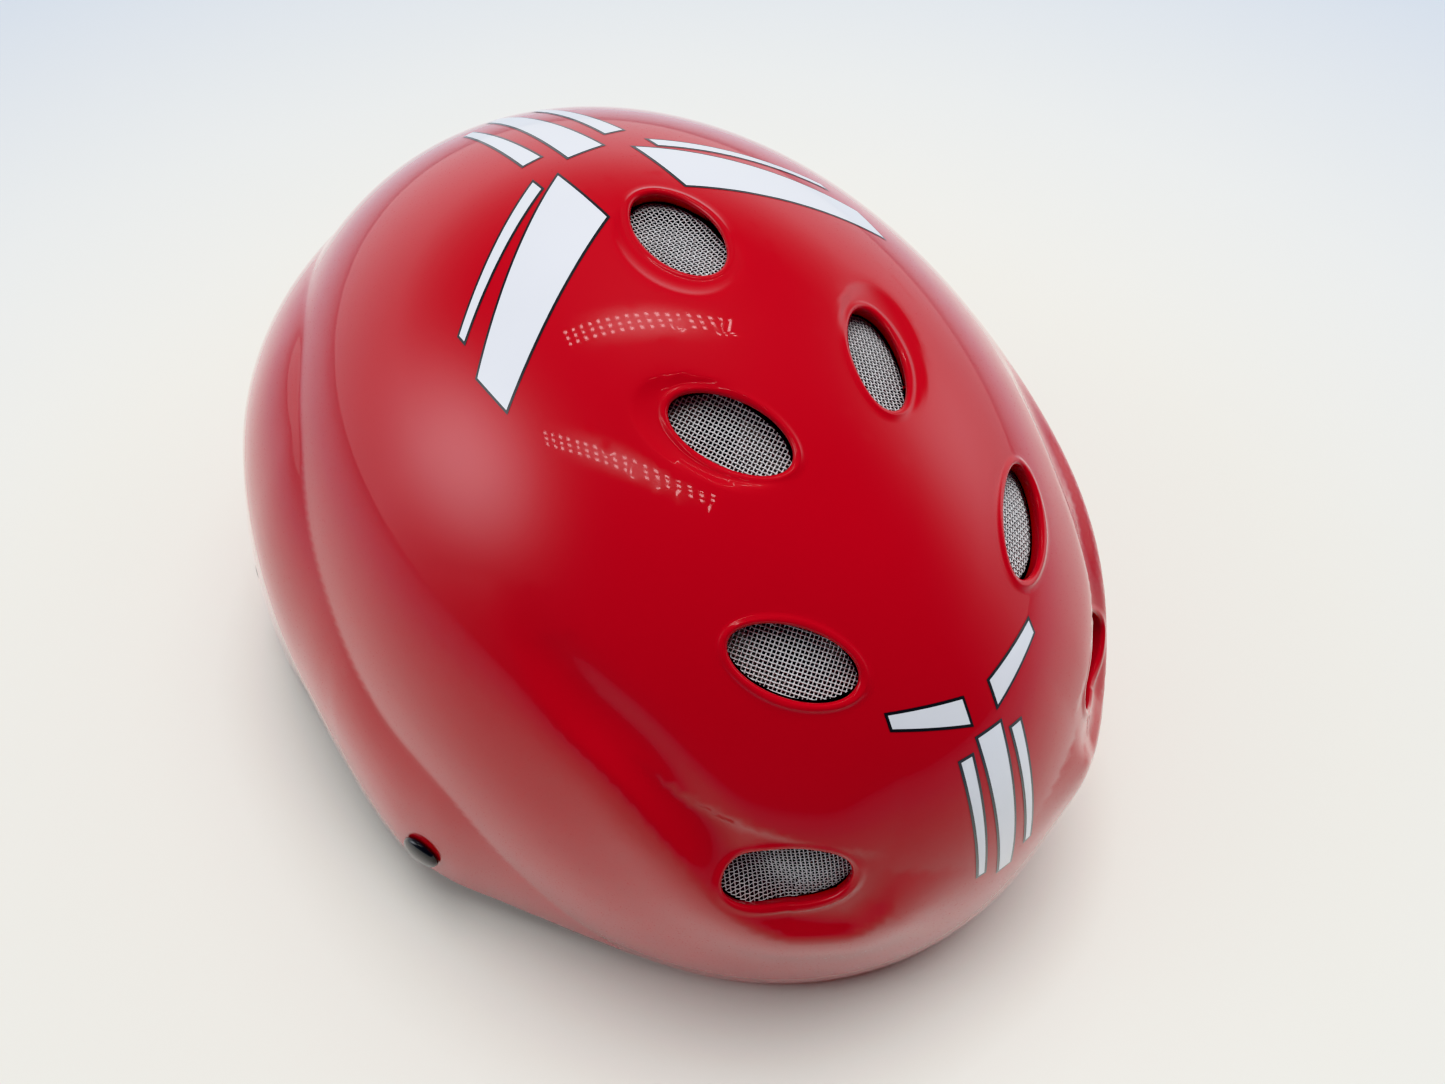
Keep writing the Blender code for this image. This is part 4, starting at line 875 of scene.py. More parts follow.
def make_liner():
    margin = LINER_VENT_MARGIN + LINER_EDGE_RADIUS
    holes = [ellipse(vent, margin, LINER_STEPS) for vent in vents().values()]
    near = [ellipse(vent, margin + step, LINER_STEPS) for vent in vents().values() for step in LINER_ROWS]
    rim = even_rim(LINER_SPACING, LINER_RIM_HEIGHT, LINER_EDGE_RADIUS)
    unit, faces = skin_grid(LINER_SPACING, rim, holes, near)
    normals = dome(unit)[1]
    back = under_dome(unit, np.zeros(len(unit)))
    from_groove = np.abs(back[:, 0]) - LINER_GROOVE_AT
    groove = LINER_GROOVE_DEPTH * np.exp(-((from_groove / LINER_GROOVE_WIDTH) ** 2))
    thickness = liner_thickness(unit) - groove
    face, wall = under_dome(unit, thickness), thickness - LINER_WALL_SHORT
    liner = rounded_skin("liner", faces[:, ::-1], face, -normals, back, LINER_EDGE_RADIUS, wall, foam())
    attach(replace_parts(liner, "foam_liner"), "root")


def fabric(name="pad_fabric", thread=0.0011):
    """Brushed knit over foam: fine ribs both ways, lint and soft sheen."""
    material, tree, shader = nodes_of(name)
    place = object_place(tree)
    ribs = []
    for axis in ("X", "Z"):
        inputs = {"Vector": place, "Scale": 0.314 / thread, "Distortion": 0.6, "Detail": 1.0}
        ribs.append(add_node(tree, "ShaderNodeTexWave", inputs, bands_direction=axis).outputs["Fac"])
    fluff = noise(tree, 700, 5, 0.7)
    feed(tree, shader, {
        "Base Color": colour_between(tree, fluff, (0.013, 0.013, 0.015), (0.036, 0.036, 0.040)),
        "Roughness": to_range(tree, fluff, 0.78, 0.95),
        "Normal": bump(tree, maths(tree, "ADD", multiply(tree, *ribs), fluff), 0.00018, 0.7),
        "Sheen Weight": 0.35,
        "Sheen Roughness": 0.5,
    })
    return material


def webbing_material():
    """Woven polyester tape: herringbone ribs that run along the tape's own length and width."""
    material, tree, shader = nodes_of("webbing_weave")
    uv = add_node(tree, "ShaderNodeTexCoord").outputs["UV"]
    parts = add_node(tree, "ShaderNodeSeparateXYZ", {"Vector": uv})
    length, width = parts.outputs["X"], parts.outputs["Y"]
    slanted = maths(tree, "ADD", length, maths(tree, "PINGPONG", width, 0.002))
    ribs, threads = (
        to_range(tree, maths(tree, "SINE", multiply(tree, value, 2 * math.pi / pitch)), 0, 1, -1, 1)
        for value, pitch in ((slanted, WEBBING_RIB), (width, WEBBING_RIB * 0.6))
    )
    weave = maths(tree, "ADD", ribs, multiply(tree, threads, 0.5))
    feed(tree, shader, {
        "Base Color": colour_between(tree, ribs, (0.010, 0.010, 0.011), (0.040, 0.040, 0.043)),
        "Roughness": to_range(tree, noise(tree, 300, 3), 0.62, 0.8),
        "Normal": bump(tree, weave, 0.00022, 0.9),
        "Sheen Weight": 0.2,
    })
    return material


def pad_frame(name):
    """Middle direction of a pad, its two axes and its half sizes."""
    azimuth, polar, half_width, half_height, thickness = PADS[name]
    middle = direction(azimuth, polar)
    across = direction(azimuth + 90, 90)
    return middle, across, np.cross(middle, across), half_width, half_height, thickness


def on_pad(name, u, v, rise=0.0):
    """Points over a pad's head side at plane offsets u and v, at the pad's edge height plus the rise."""
    middle, across, up, _, _, thickness = pad_frame(name)
    unit = unit_vectors(middle + u[:, None] / MEAN_RADIUS * across + v[:, None] / MEAN_RADIUS * up)
    depth = liner_thickness(unit) + PAD_EDGE_SHARE * thickness + rise
    return under_dome(unit, depth), -dome(unit)[1]


def pad_outline(name, share, steps=120):
    """Offsets round the pad's rounded outline, drawn in to the share of its size."""
    _, _, _, half_width, half_height, _ = pad_frame(name)
    turn = np.arange(steps + 1) * 2 * math.pi / steps
    cosine, sine = np.cos(turn), np.sin(turn)
    bulge = (np.abs(cosine) ** PAD_CORNER + np.abs(sine) ** PAD_CORNER) ** (-1 / PAD_CORNER)
    inset = min(half_width, half_height) * (1 - share)
    return (half_width - inset) * cosine * bulge, (half_height - inset) * sine * bulge


def swell(obj, cap):
    """Inflates a closed mesh as cloth, lets no point move further than the cap, and keeps the result."""
    mesh = obj.data
    rest = np.array([vertex.co for vertex in mesh.vertices])
    cloth = obj.modifiers.new("swell", "CLOTH")
    cloth.settings.use_pressure = True
    cloth.settings.uniform_pressure_force = PAD_PRESSURE
    cloth.settings.effector_weights.gravity = 0.0
    cloth.settings.quality = 5
    cloth.point_cache.frame_start, cloth.point_cache.frame_end = 1, PAD_FRAMES
    for frame_number in range(1, PAD_FRAMES + 1):
        bpy.context.scene.frame_set(frame_number)
    graph = bpy.context.evaluated_depsgraph_get()
    moved = np.array([vertex.co for vertex in obj.evaluated_get(graph).data.vertices])
    obj.modifiers.remove(cloth)
    bpy.context.scene.frame_set(1)
    shift = moved - rest
    far = np.maximum(np.linalg.norm(shift, axis=1, keepdims=True), 1e-9)
    rest = rest + shift * np.minimum(1, cap / far)
    return rest


def off_liner(points):
    """The points of a pad, with those that reach into the liner moved out of it."""
    unit = dome_direction(points)
    for _ in range(2):
        base, normals = dome(unit)
        unit = dome_direction(points + normals * (LINER_GAP + liner_thickness(unit))[:, None])
    base, normals = dome(unit)
    height = np.einsum("ij,ij->i", base - points, normals) - LINER_GAP - liner_thickness(unit)
    return points - normals * np.maximum(PAD_CLEAR - height, 0)[:, None]


def drawn_in(mesh, seams):
    """The mesh's points, drawn in along the seams."""
    points = np.array([vertex.co for vertex in mesh.vertices])
    facing = np.array([vertex.normal for vertex in mesh.vertices])
    for line in seams:
        apart = np.linalg.norm(points[:, None, :] - line[None, :, :], axis=2).min(axis=1)
        points = points - facing * (SEAM_DEPTH * np.exp(-((apart / SEAM_WIDTH) ** 2)))[:, None]
    return points


def laid_rows(mesh, seams):
    """The seams laid on the mesh, as rows of (points, normals)."""
    points = [tuple(vertex.co) for vertex in mesh.vertices]
    tree = BVHTree.FromPolygons(points, [tuple(face.vertices) for face in mesh.polygons])
    found = [[tree.find_nearest(Vector(point)) for point in line] for line in seams]
    return [tuple(np.array([hit[part] for hit in row]) for part in (0, 1)) for row in found]


def quilted(name, seams, material, thread):
    """A pad swollen as cloth from its CAD solid, kept off the liner, then drawn in along its seams."""
    obj = bpy.data.objects.new(f"{name}_quilted", frame["nodes"][name].data.copy())
    bpy.context.scene.collection.objects.link(obj)
    remesh = obj.modifiers.new("even", "REMESH")
    remesh.mode = "VOXEL"
    remesh.voxel_size = PAD_VOXEL
    keep_modified(obj)
    obj.data.vertices.foreach_set("co", off_liner(swell(obj, PAD_SWELL)).ravel())
    smooth = obj.modifiers.new("smooth", "SUBSURF")
    smooth.levels = smooth.render_levels = 1
    keep_modified(obj)
    obj.data.vertices.foreach_set("co", drawn_in(obj.data, seams).ravel())
    obj.data.materials.clear()
    obj.data.materials.append(material)
    obj.data.shade_smooth()
    sewn = stitches(f"{name}_stitches", laid_rows(obj.data, seams), thread)
    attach(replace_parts(obj, name), "root")
    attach(sewn, "root")


def keep_modified(obj):
    """Replaces an object's mesh with what its modifiers make of it."""
    graph = bpy.context.evaluated_depsgraph_get()
    obj.data = bpy.data.meshes.new_from_object(obj.evaluated_get(graph))
    obj.modifiers.clear()


def stitches(name, rows, material, length=0.0019, gap=0.0011, radius=0.00024, sides=6):
    """Threads laid along rows of (points, outward normals), each dipping into the cloth at both ends."""
    points, faces = [], []
    for line, normals in rows:
        travel = np.concatenate([[0], np.cumsum(np.linalg.norm(np.diff(line, axis=0), axis=1))])
        for start in np.arange(0.3 * gap, travel[-1] - length, length + gap):
            first = len(points)
            at = start + length * np.array([0.0, 0.12, 0.5, 0.88, 1.0])
            middle = np.stack([np.interp(at, travel, line[:, k]) for k in range(3)], -1)
            normal = unit_vectors(np.stack([np.interp(at, travel, normals[:, k]) for k in range(3)], -1))
            along = unit_vectors(middle[-1] - middle[0])
            for place, up, (share, rise) in zip(middle, normal, STITCH_PROFILE):
                across = np.cross(along, up)
                turn = np.arange(sides)[:, None] * 2 * math.pi / sides
                ring = np.cos(turn) * up + np.sin(turn) * across
                points.extend(place + radius * (rise * up + share * ring))
            faces.extend(tube_faces(5, sides, first=first))
            faces.append(tuple(first + k for k in range(sides)))
            faces.append(tuple(first + 5 * sides - 1 - k for k in range(sides)))
    return build(name, np.array(points), faces, material)


def piping(name, line, normals, radius, material, sides=10):
    """Round binding along a closed line."""
    tangent = unit_vectors(np.roll(line, -1, axis=0) - np.roll(line, 1, axis=0))
    across = np.cross(tangent, normals)
    turn = np.arange(sides) * 2 * math.pi / sides
    rings = line[:, None] + radius * (
        np.cos(turn)[None, :, None] * normals[:, None] + np.sin(turn)[None, :, None] * across[:, None]
    )
    return build(name, rings.reshape(-1, 3), tube_faces(len(line), sides, closed=True), material)


def make_pads():
    cloth, thread = fabric(), moulded("pad_thread", (0.05, 0.05, 0.055), 0.6)
    binding = fabric("pad_binding", 0.0007)
    for name in PADS:
        _, _, _, half_width, half_height, _ = pad_frame(name)
        seams = [on_pad(name, *pad_outline(name, SEAM_INSET), 0.003)[0]]
        for share in PAD_CHANNELS[name]:
            height = np.linspace(-0.62, 0.62, 40) * half_height
            seams.append(on_pad(name, np.full(40, share * half_width), height, 0.005)[0])
        quilted(name, seams, cloth, thread)
        edge, normals = on_pad(name, *pad_outline(name, 1.0), 0.0002)
        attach(piping(f"{name}_binding", edge[:-1], normals[:-1], PIPING_RADIUS, binding), "root")


class StrapPlane:
    """Frame of one ear strap: inward along the strap, along the swing axis, and up from its flat side."""

    def __init__(self, side):
        self.side = side
        self.origin = joint_place(f"strap_{side_word(side)}")
        self.inward = np.array([-side * math.cos(STRAP_DROP_ANGLE), 0.0, -math.sin(STRAP_DROP_ANGLE)])
        self.along = np.array([0.0, 1.0, 0.0])
        self.up = np.array([-side * math.sin(STRAP_DROP_ANGLE), 0.0, math.cos(STRAP_DROP_ANGLE)])

    def point(self, inward, along, up=0.0):
        return self.origin + inward * self.inward + along * self.along + up * self.up


def joint_place(body):
    """The point on a moving body's joint axis."""
    return np.array(next(joint["pos_m"] for joint in frame["joints"] if joint["child"] == body), float)


def side_word(side):
    return "left" if side < 0 else "right"


def loop_path(tail_length, steps=28):
    """Webbing round a bar: (inward, up, facing) from the sewn-down tail, round the bar, to the main run."""
    open_turn = math.radians(50)
    tail = 0.5 * WEBBING_THICKNESS + SEWN_GAP
    path = [(tail_length, -tail, -math.pi / 2), (LOOP_NECK, -tail, -math.pi / 2)]
    for i in range(steps + 1):
        turn = -open_turn - (2 * math.pi - 2 * open_turn) * i / steps
        path.append((LOOP_RADIUS * math.cos(turn), LOOP_RADIUS * math.sin(turn), turn))
    path.append((LOOP_NECK, tail, -3 * math.pi / 2))
    path.append((LOOP_TAIL, tail, -3 * math.pi / 2))
    return path


def turned_corner(start, corner, end, steps=30):
    """Plane points with their headings, from start to end round a circular turn at the corner."""
    start, corner, end = map(np.array, (start, corner, end))
    into, out = unit_vectors(corner - start), unit_vectors(end - corner)
    bend = math.acos(np.clip(into @ out, -1, 1))
    sign = math.copysign(1, into[0] * out[1] - into[1] * out[0])
    begin = corner - into * TURN_RADIUS * math.tan(bend / 2)
    centre = begin + sign * TURN_RADIUS * np.array([-into[1], into[0]])
    found = [(start + into * distance, into) for distance in np.linspace(0.010, 0.030, 8)]
    for turn in sign * bend * np.arange(steps + 1) / steps:
        spin = np.array([[math.cos(turn), -math.sin(turn)], [math.sin(turn), math.cos(turn)]])
        found.append((centre + spin @ (begin - centre), spin @ into))
    found.extend((end - out * distance, out) for distance in np.linspace(0.030, 0.010, 8))
    return found


def tape(name, centres, widths, normals, material):
    """Woven tape with rounded edges along a row of centres, with its own length and width as coordinates."""
    half, thin = WEBBING_WIDTH / 2, WEBBING_THICKNESS / 2
    turns = np.radians(np.arange(0, 181, 30))
    round_end = np.stack([half - thin + thin * np.sin(turns), thin * np.cos(turns)], -1)
    section = np.concatenate([round_end, -round_end])
    travel = np.concatenate([[0], np.cumsum(np.linalg.norm(np.diff(centres, axis=0), axis=1))])
    count = len(section)
    points = centres[:, None] + section[:, :1] * widths[:, None] + section[:, 1:] * normals[:, None]
    faces, places = [], []
    for i in range(len(centres) - 1):
        for k in range(count):
            j = (k + 1) % count
            faces.append((count * i + k, count * i + j, count * (i + 1) + j, count * (i + 1) + k))
            ends = (travel[i], travel[i], travel[i + 1], travel[i + 1])
            places.extend(zip(ends, (section[k, 0], section[j, 0], section[j, 0], section[k, 0])))
    last = count * (len(centres) - 1)
    faces.append(tuple(range(count))[::-1])
    places.extend([(0.0, float(x)) for x in section[::-1, 0]])
    faces.append(tuple(range(last, last + count)))
    places.extend([(travel[-1], float(x)) for x in section[:, 0]])
    made = build(name, points.reshape(-1, 3), faces, material)
    uv = made.data.uv_layers.new(name="tape")
    uv.data.foreach_set("uv", np.array(places, float).ravel())
    mesh = bmesh.new()
    mesh.from_mesh(made.data)
    bmesh.ops.recalc_face_normals(mesh, faces=mesh.faces)
    mesh.to_mesh(made.data)
    mesh.free()
    made.data.set_sharp_from_angle(angle=math.radians(50))
    return made


def hanger_y(end, side):
    low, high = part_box(f"strap_hanger_{end}_{side_word(side)}")
    return (low[1] + high[1]) / 2


def sewn_box(corner, first, second, normal):
    """Rows of stitches round a box and across it, as (points, normals)."""
    corners = [corner, corner + first, corner + first + second, corner + second]
    pairs = [(0, 1), (1, 2), (2, 3), (3, 0), (0, 2), (1, 3)]
    return [
        (np.linspace(corners[a], corners[b], 12), np.tile(normal, (12, 1)))
        for a, b in pairs
    ]


def make_ear_strap(plane, webbing, thread):
    word = side_word(plane.side)
    front, rear = (hanger_y(end, plane.side) - plane.origin[1] for end in ("front", "rear"))
    centres, widths, normals = [], [], []

    def add(place, across, normal):
        centres.append(place)
        widths.append(across)
        normals.append(normal)

    def add_loop(y, path, sign):
        for inward, up, facing in path:
            normal = math.cos(facing) * plane.inward + math.sin(facing) * plane.up
            add(plane.point(inward, y, up), sign * plane.along, normal)

    add_loop(front, loop_path(LOOP_TAIL), 1)
    lift = 0.5 * WEBBING_THICKNESS + SEWN_GAP
    for place, heading in turned_corner((LOOP_TAIL, front), (STRAP_REACH, JUNCTION_Y), (LOOP_TAIL, rear)):
        level = lift * max(0.0, 1 - (place[0] - LOOP_TAIL) / LEVEL_OUT)
        across = -heading[1] * plane.inward + heading[0] * plane.along
        add(plane.point(*place, level), across, plane.up)
    add_loop(rear, reversed(loop_path(LOOP_TAIL)), -1)
    strap = tape(f"ear_webbing_{word}", *map(np.array, (centres, widths, normals)), webbing)
    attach(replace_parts(strap, f"ear_strap_{word}"), f"strap_{word}")
    rows = []
    for y in (front, rear):
        for face in (-1, 1):
            corner = plane.point(SEWN_START, y - SEWN_HALF, face * (2 * lift - SEWN_GAP))
            rows += sewn_box(corner, SEWN_LENGTH * plane.inward, 2 * SEWN_HALF * plane.along, face * plane.up)
    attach(stitches(f"ear_webbing_stitches_{word}", rows, thread, *WEBBING_STITCH), f"strap_{word}")


def make_chin_strap(plane, webbing, thread):
    word, side = side_word(plane.side), plane.side
    bar = joint_place("buckle_plug" if side > 0 else "buckle_socket")[1]
    tail_length = PLUG_TAIL if side > 0 else LOOP_TAIL
    raised = plane.point(CHIN_REACH, 0, WEBBING_THICKNESS + CLEARANCE)
    tail = 0.5 * WEBBING_THICKNESS + SEWN_GAP
    level_axis, upright = np.array([-side, 0.0, 0.0]), np.array([0.0, 0.0, 1.0])
    slope_start, slope_end = (plane.origin[1] + y for y in CHIN_SLOPE)
    centres, widths, normals = [], [], []
    begin = plane.origin[1] + CHIN_STRAP_START
    for y in (begin, *np.linspace(slope_start, slope_end, 16)):
        share = smooth_step((slope_start - y) / (slope_start - slope_end))
        height = raised[2] + share * (CHIN_LEVEL - side * tail - raised[2])
        centres.append(np.array([raised[0], y, height]))
        widths.append(unit_vectors(plane.inward * (1 - share) + level_axis * share))
        normals.append(plane.up * (1 - share) + upright * share)
    for away, up, facing in reversed(loop_path(tail_length)):
        centres.append(np.array([raised[0], bar + away, CHIN_LEVEL - side * up]))
        widths.append(level_axis)
        normals.append(np.array([0, -side * math.cos(facing), math.sin(facing)]))
    strap = tape(f"chin_webbing_{word}", *map(np.array, (centres, widths, normals)), webbing)
    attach(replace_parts(strap, f"chin_strap_{word}"), f"strap_{word}")
    rows = []
    for face in (-1, 1):
        height = CHIN_LEVEL + face * (2 * tail - SEWN_GAP)
        corner = np.array([raised[0] - SEWN_HALF, bar + SEWN_START, height])
        along, across = np.array([0, SEWN_LENGTH, 0]), np.array([2 * SEWN_HALF, 0, 0])
        rows += sewn_box(corner, along, across, face * upright)
    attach(stitches(f"chin_webbing_stitches_{word}", rows, thread, *WEBBING_STITCH), f"strap_{word}")


def make_chin_pad(cloth, thread):
    """Soft sleeve on the left chin strap, crowned along its length and sewn down at both ends."""
    low, high = (np.array(corner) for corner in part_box("chin_pad"))
    middle, half = (low + high) / 2, (high - low) / 2
    slot = np.array(SLEEVE_SLOT)
    rings, steps = 36, 40
    turn = np.arange(steps) * 2 * math.pi / steps
    bulge = np.abs(np.cos(turn)) ** SLEEVE_CORNER + np.abs(np.sin(turn)) ** SLEEVE_CORNER
    corner = bulge ** (-1 / SLEEVE_CORNER)
    outline = np.stack([np.cos(turn) * corner, np.sin(turn) * corner], -1)
    points = []
    for i in range(rings + 1):
        along = -1 + 2 * i / rings
        crown = (1 - abs(along) ** 6) ** 0.35
        dent = 0.22 * math.exp(-(((abs(along) - SLEEVE_SEAM) / 0.07) ** 2))
        size = slot + (half[[0, 2]] - slot) * max(crown - dent, 0.12)
        ring = outline * size
        points.append(np.column_stack([ring[:, 0], np.full(steps, along * half[1]), ring[:, 1]]))
    for along in (1, -1):
        ring = outline * slot
        points.append(np.column_stack([ring[:, 0], np.full(steps, 0.97 * along * half[1]), ring[:, 1]]))
    faces = tube_faces(rings + 3, steps, closed=True)
    sleeve = build("chin_pad_sleeve", middle + np.concatenate(points), faces, cloth)
    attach(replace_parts(sleeve, "chin_pad"), "strap_left")
    rows = []
    for along in (-SLEEVE_SEAM, SLEEVE_SEAM):
        for face in (-1, 1):
            x = np.linspace(-0.8, 0.8, 20) * half[0]
            height = slot[1] + (half[2] - slot[1]) * 0.66
            line = middle + np.column_stack([x, np.full(20, along * half[1]), np.full(20, face * height)])
            rows.append((line, np.tile([0, 0, float(face)], (20, 1))))
    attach(stitches("chin_pad_stitches", rows, thread), "strap_left")


def rivet_profile():
    """Radius and height over the shell, from the middle of the cap round its edge and down the shank."""
    turns = np.radians(np.arange(0, 91, 7.5))
    crown = [(RIVET_RADIUS * math.sin(turn), RIVET_HEIGHT * (0.30 + 0.70 * math.cos(turn))) for turn in turns]
    edge = [(RIVET_RADIUS * 1.03, 0.0004), (RIVET_RADIUS * 0.98, RIVET_LIFT)]
    return [*crown, *edge, (RIVET_SHANK, RIVET_LIFT), (RIVET_SHANK, -RIVET_DEPTH)]


def make_rivets(sides=64):
    """Glossy domed caps on the shell, each with a shank through to its hanger."""
    gloss = moulded("rivet_gloss", (0.010, 0.010, 0.012), 0.12, 400, 0.00001)
    gloss.node_tree.nodes["Principled BSDF"].inputs["Coat Weight"].default_value = 0.6
    profile = rivet_profile()
    turn = np.arange(sides)[:, None] * 2 * math.pi / sides
    faces = [face[::-1] for face in tube_faces(len(profile), sides)]
    faces.append(tuple(range(sides * (len(profile) - 1), sides * len(profile)))[::-1])
    for end, (azimuth, polar) in RIVETS.items():
        for side in (-1, 1):
            name = f"{end}_{side_word(side)}"
            unit = direction(np.array([azimuth if side < 0 else 180 - azimuth]), np.array([polar]))
            seat, normal = surface(unit)[0], surface_normals(unit, 0.004)[0]
            first = unit_vectors(np.cross(normal, [0, 0, 1.0]))
            spoke = np.cos(turn) * first + np.sin(turn) * np.cross(normal, first)
            rings = [seat + height * normal + radius * spoke for radius, height in profile]
            cap = build(f"rivet_cap_{name}", np.concatenate(rings), faces, gloss)
            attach(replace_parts(cap, f"rivet_{name}"), "root")


def soften(node, width, material):
    """Finish and small rounded edges for a CAD piece that shows as it is."""
    obj = frame["nodes"][node]
    obj.data.materials.clear()
    obj.data.materials.append(material)
    weld = obj.modifiers.new("weld", "WELD")
    weld.merge_threshold = 1e-6
    bevel = obj.modifiers.new("edges", "BEVEL")
    bevel.width = width
    bevel.segments = 3
    bevel.limit_method = "ANGLE"
    bevel.angle_limit = math.radians(32)
    bevel.harden_normals = True


def make_hardware():
    acetal = moulded("black_acetal", (0.014, 0.014, 0.015), 0.34)
    rubber = moulded("black_rubber", (0.016, 0.016, 0.016), 0.6, 1400)
    screw = steel("screw_steel")
    for node in frame["nodes"]:
        if node.startswith(("strap_hanger", "divider", "buckle")):
            soften(node, PLASTIC_EDGE, acetal)
        elif node.startswith("anchor_screw"):
            soften(node, SCREW_EDGE, screw)
        elif node == "strap_keeper":
            soften(node, RUBBER_EDGE, rubber)


def make_harness():
    webbing, thread = webbing_material(), moulded("webbing_thread", (0.06, 0.06, 0.065), 0.55)
    for side in (-1, 1):
        plane = StrapPlane(side)
        make_ear_strap(plane, webbing, thread)
        make_chin_strap(plane, webbing, thread)
    make_chin_pad(fabric("chin_pad_fabric"), thread)


def grown(outline, margin):
    """A convex anticlockwise outline moved outwards by the margin."""
    edges = unit_vectors(np.roll(outline, -1, axis=0) - outline)
    outward = np.stack([edges[:, 1], -edges[:, 0]], -1)
    before = np.roll(outward, 1, axis=0)
    bisector = unit_vectors(outward + before)
    stretch = np.minimum(1 / np.einsum("ij,ij->i", bisector, outward), 3)
    return outline + margin * bisector * stretch[:, None]


def conform(outline, origin, across, up, lift, step=0.0016):
    """Points, triangles and normals of an outline laid on the shell from the plane through the origin."""
    sides = []
    for start, end in zip(outline, np.roll(outline, -1, axis=0)):
        count = max(1, round(np.linalg.norm(end - start) / step))
        sides.append(start + (end - start) * np.arange(count)[:, None] / count)
    border = np.concatenate(sides)
    low, high = border.min(axis=0), border.max(axis=0)
    x, y = np.meshgrid(np.arange(low[0], high[0], step), np.arange(low[1], high[1], step))
    fill = np.stack([x.ravel(), y.ravel()], -1)
    fill = fill[inside(grown(outline, -step / 2), fill)]
    plane, faces = triangulate([border], fill)
    corners = plane[faces]
    first, second = corners[:, 1] - corners[:, 0], corners[:, 2] - corners[:, 0]
    turned = first[:, 0] * second[:, 1] - first[:, 1] * second[:, 0] < 0
    faces[turned] = faces[turned][:, ::-1]
    unit = dome_direction(origin + plane[:, :1] * across + plane[:, 1:] * up)
    normals = surface_normals(unit)
    return surface(unit) + lift * normals, faces, normals


def band(start, end, start_width, end_width):
    """Straight tapered band with upright ends, as an anticlockwise outline."""
    outline = np.array([
        (start[0], start[1] - start_width), (end[0], end[1] - end_width),
        (end[0], end[1] + end_width), (start[0], start[1] + start_width),
    ])
    return outline if end[0] > start[0] else outline[::-1]


def both_sides(outlines):
    """The outlines and their mirror images."""
    return outlines + [(outline * (-1, 1))[::-1] for outline in outlines]


def stripe(middle, low, high, low_half, high_half):
    """Straight tapered stripe that runs up the plane, as an anticlockwise outline."""
    return np.array([
        (middle - low_half, low), (middle + low_half, low),
        (middle + high_half, high), (middle - high_half, high),
    ])


def crown_bands():
    """Wide swept bands beside the top vent, and three racing stripes behind it."""
    wide = [band((0.0105, 0.0040), (0.0600, -0.0290), 0.0105, 0.0065)]
    narrow = [band((0.0160, 0.0150), (0.0560, -0.0100), 0.0020, 0.0012)]
    outer = [stripe(0.0115, 0.0260, 0.0720, 0.0024, 0.0012)]
    return both_sides(wide + narrow + outer) + [stripe(0.0, 0.0200, 0.0800, 0.0046, 0.0022)]


def brow_bands():
    """Small pair of swept bars over three racing stripes that run down the brow."""
    bars = [band((0.0040, 0.0330), (0.0210, 0.0390), 0.0030, 0.0016)]
    outer = [stripe(0.0072, -0.0120, 0.0230, 0.0008, 0.0014)]
    return both_sides(bars + outer) + [stripe(0.0, -0.0160, 0.0260, 0.0018, 0.0032)]


def make_decals():
    """White stripes over slightly larger black ones, both as thin films on the shell."""
    white, black = printed("white_print", (0.80, 0.82, 0.88)), printed("black_print", (0.012, 0.012, 0.014))
    crown, crown_normal = dome(np.array([0.0, 0.0, 1.0]))
    front, front_normal = dome(direction(270.0, 76.0))
    sideways = np.array([1.0, 0, 0])
    places = {"crown": (crown_bands(), crown, crown_normal), "brow": (brow_bands(), front, front_normal)}
    layers = (("edge", black, DECAL_EDGE, DECAL_LIFT), ("fill", white, 0.0, 2 * DECAL_LIFT))
    for name, (outlines, origin, normal) in places.items():
        up = np.cross(normal, sideways)
        for colour, material, margin, lift in layers:
            points, faces, normals = [], [], []
            total = 0
            for outline in outlines:
                found = conform(grown(outline, margin), origin, sideways, up, lift)
                points.append(found[0])
                faces.extend((found[1] + total).tolist())
                normals.append(found[2])
                total += len(found[0])
            points, normals = np.concatenate(points), np.concatenate(normals)
            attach(build(f"decal_{name}_{colour}", points, faces, material, normals), "root")


def table_top():
    """Pale cream floor that turns evenly into a darker, cooler grey further out: partly a cooler tone of the
    backdrop, partly painted shade where the light falls off.
    """
    material, tree, shader = nodes_of("table_top")
    place = object_place(tree)
    away = add_node(tree, "ShaderNodeVectorMath", {0: place}, operation="LENGTH").outputs["Value"]
    # Painted shade: further from the middle the floor is mixed towards a darker, cooler grey, where the
    # room's light falls off, over a cooler tone of the backdrop.
    far = to_range(tree, away, 0, 1, *FLOOR_SHADE_FADE)
    cream = colour_between(tree, noise(tree, 9, 3), (0.79, 0.785, 0.725), (0.82, 0.81, 0.755))
    feed(tree, shader, {
        "Base Color": colour_between(tree, far, cream, (0.60, 0.65, 0.72)),
        "Roughness": to_range(tree, noise(tree, 40, 3), 0.55, 0.7),
        "Normal": bump(tree, noise(tree, 500, 3), 0.00005, 0.3),
    })
    # The underside is clear, so that the helmet's inside shows from below.
    clear = add_node(tree, "ShaderNodeBsdfTransparent").outputs[0]
    back = add_node(tree, "ShaderNodeNewGeometry").outputs["Backfacing"]
    shadow = add_node(tree, "ShaderNodeLightPath").outputs["Is Shadow Ray"]
    through = maths(tree, "MAXIMUM", back, shadow)
    side = add_node(tree, "ShaderNodeMixShader", {0: through, 1: shader.outputs[0], 2: clear})
    tree.links.new(side.outputs[0], tree.nodes["Material Output"].inputs["Surface"])
    return material


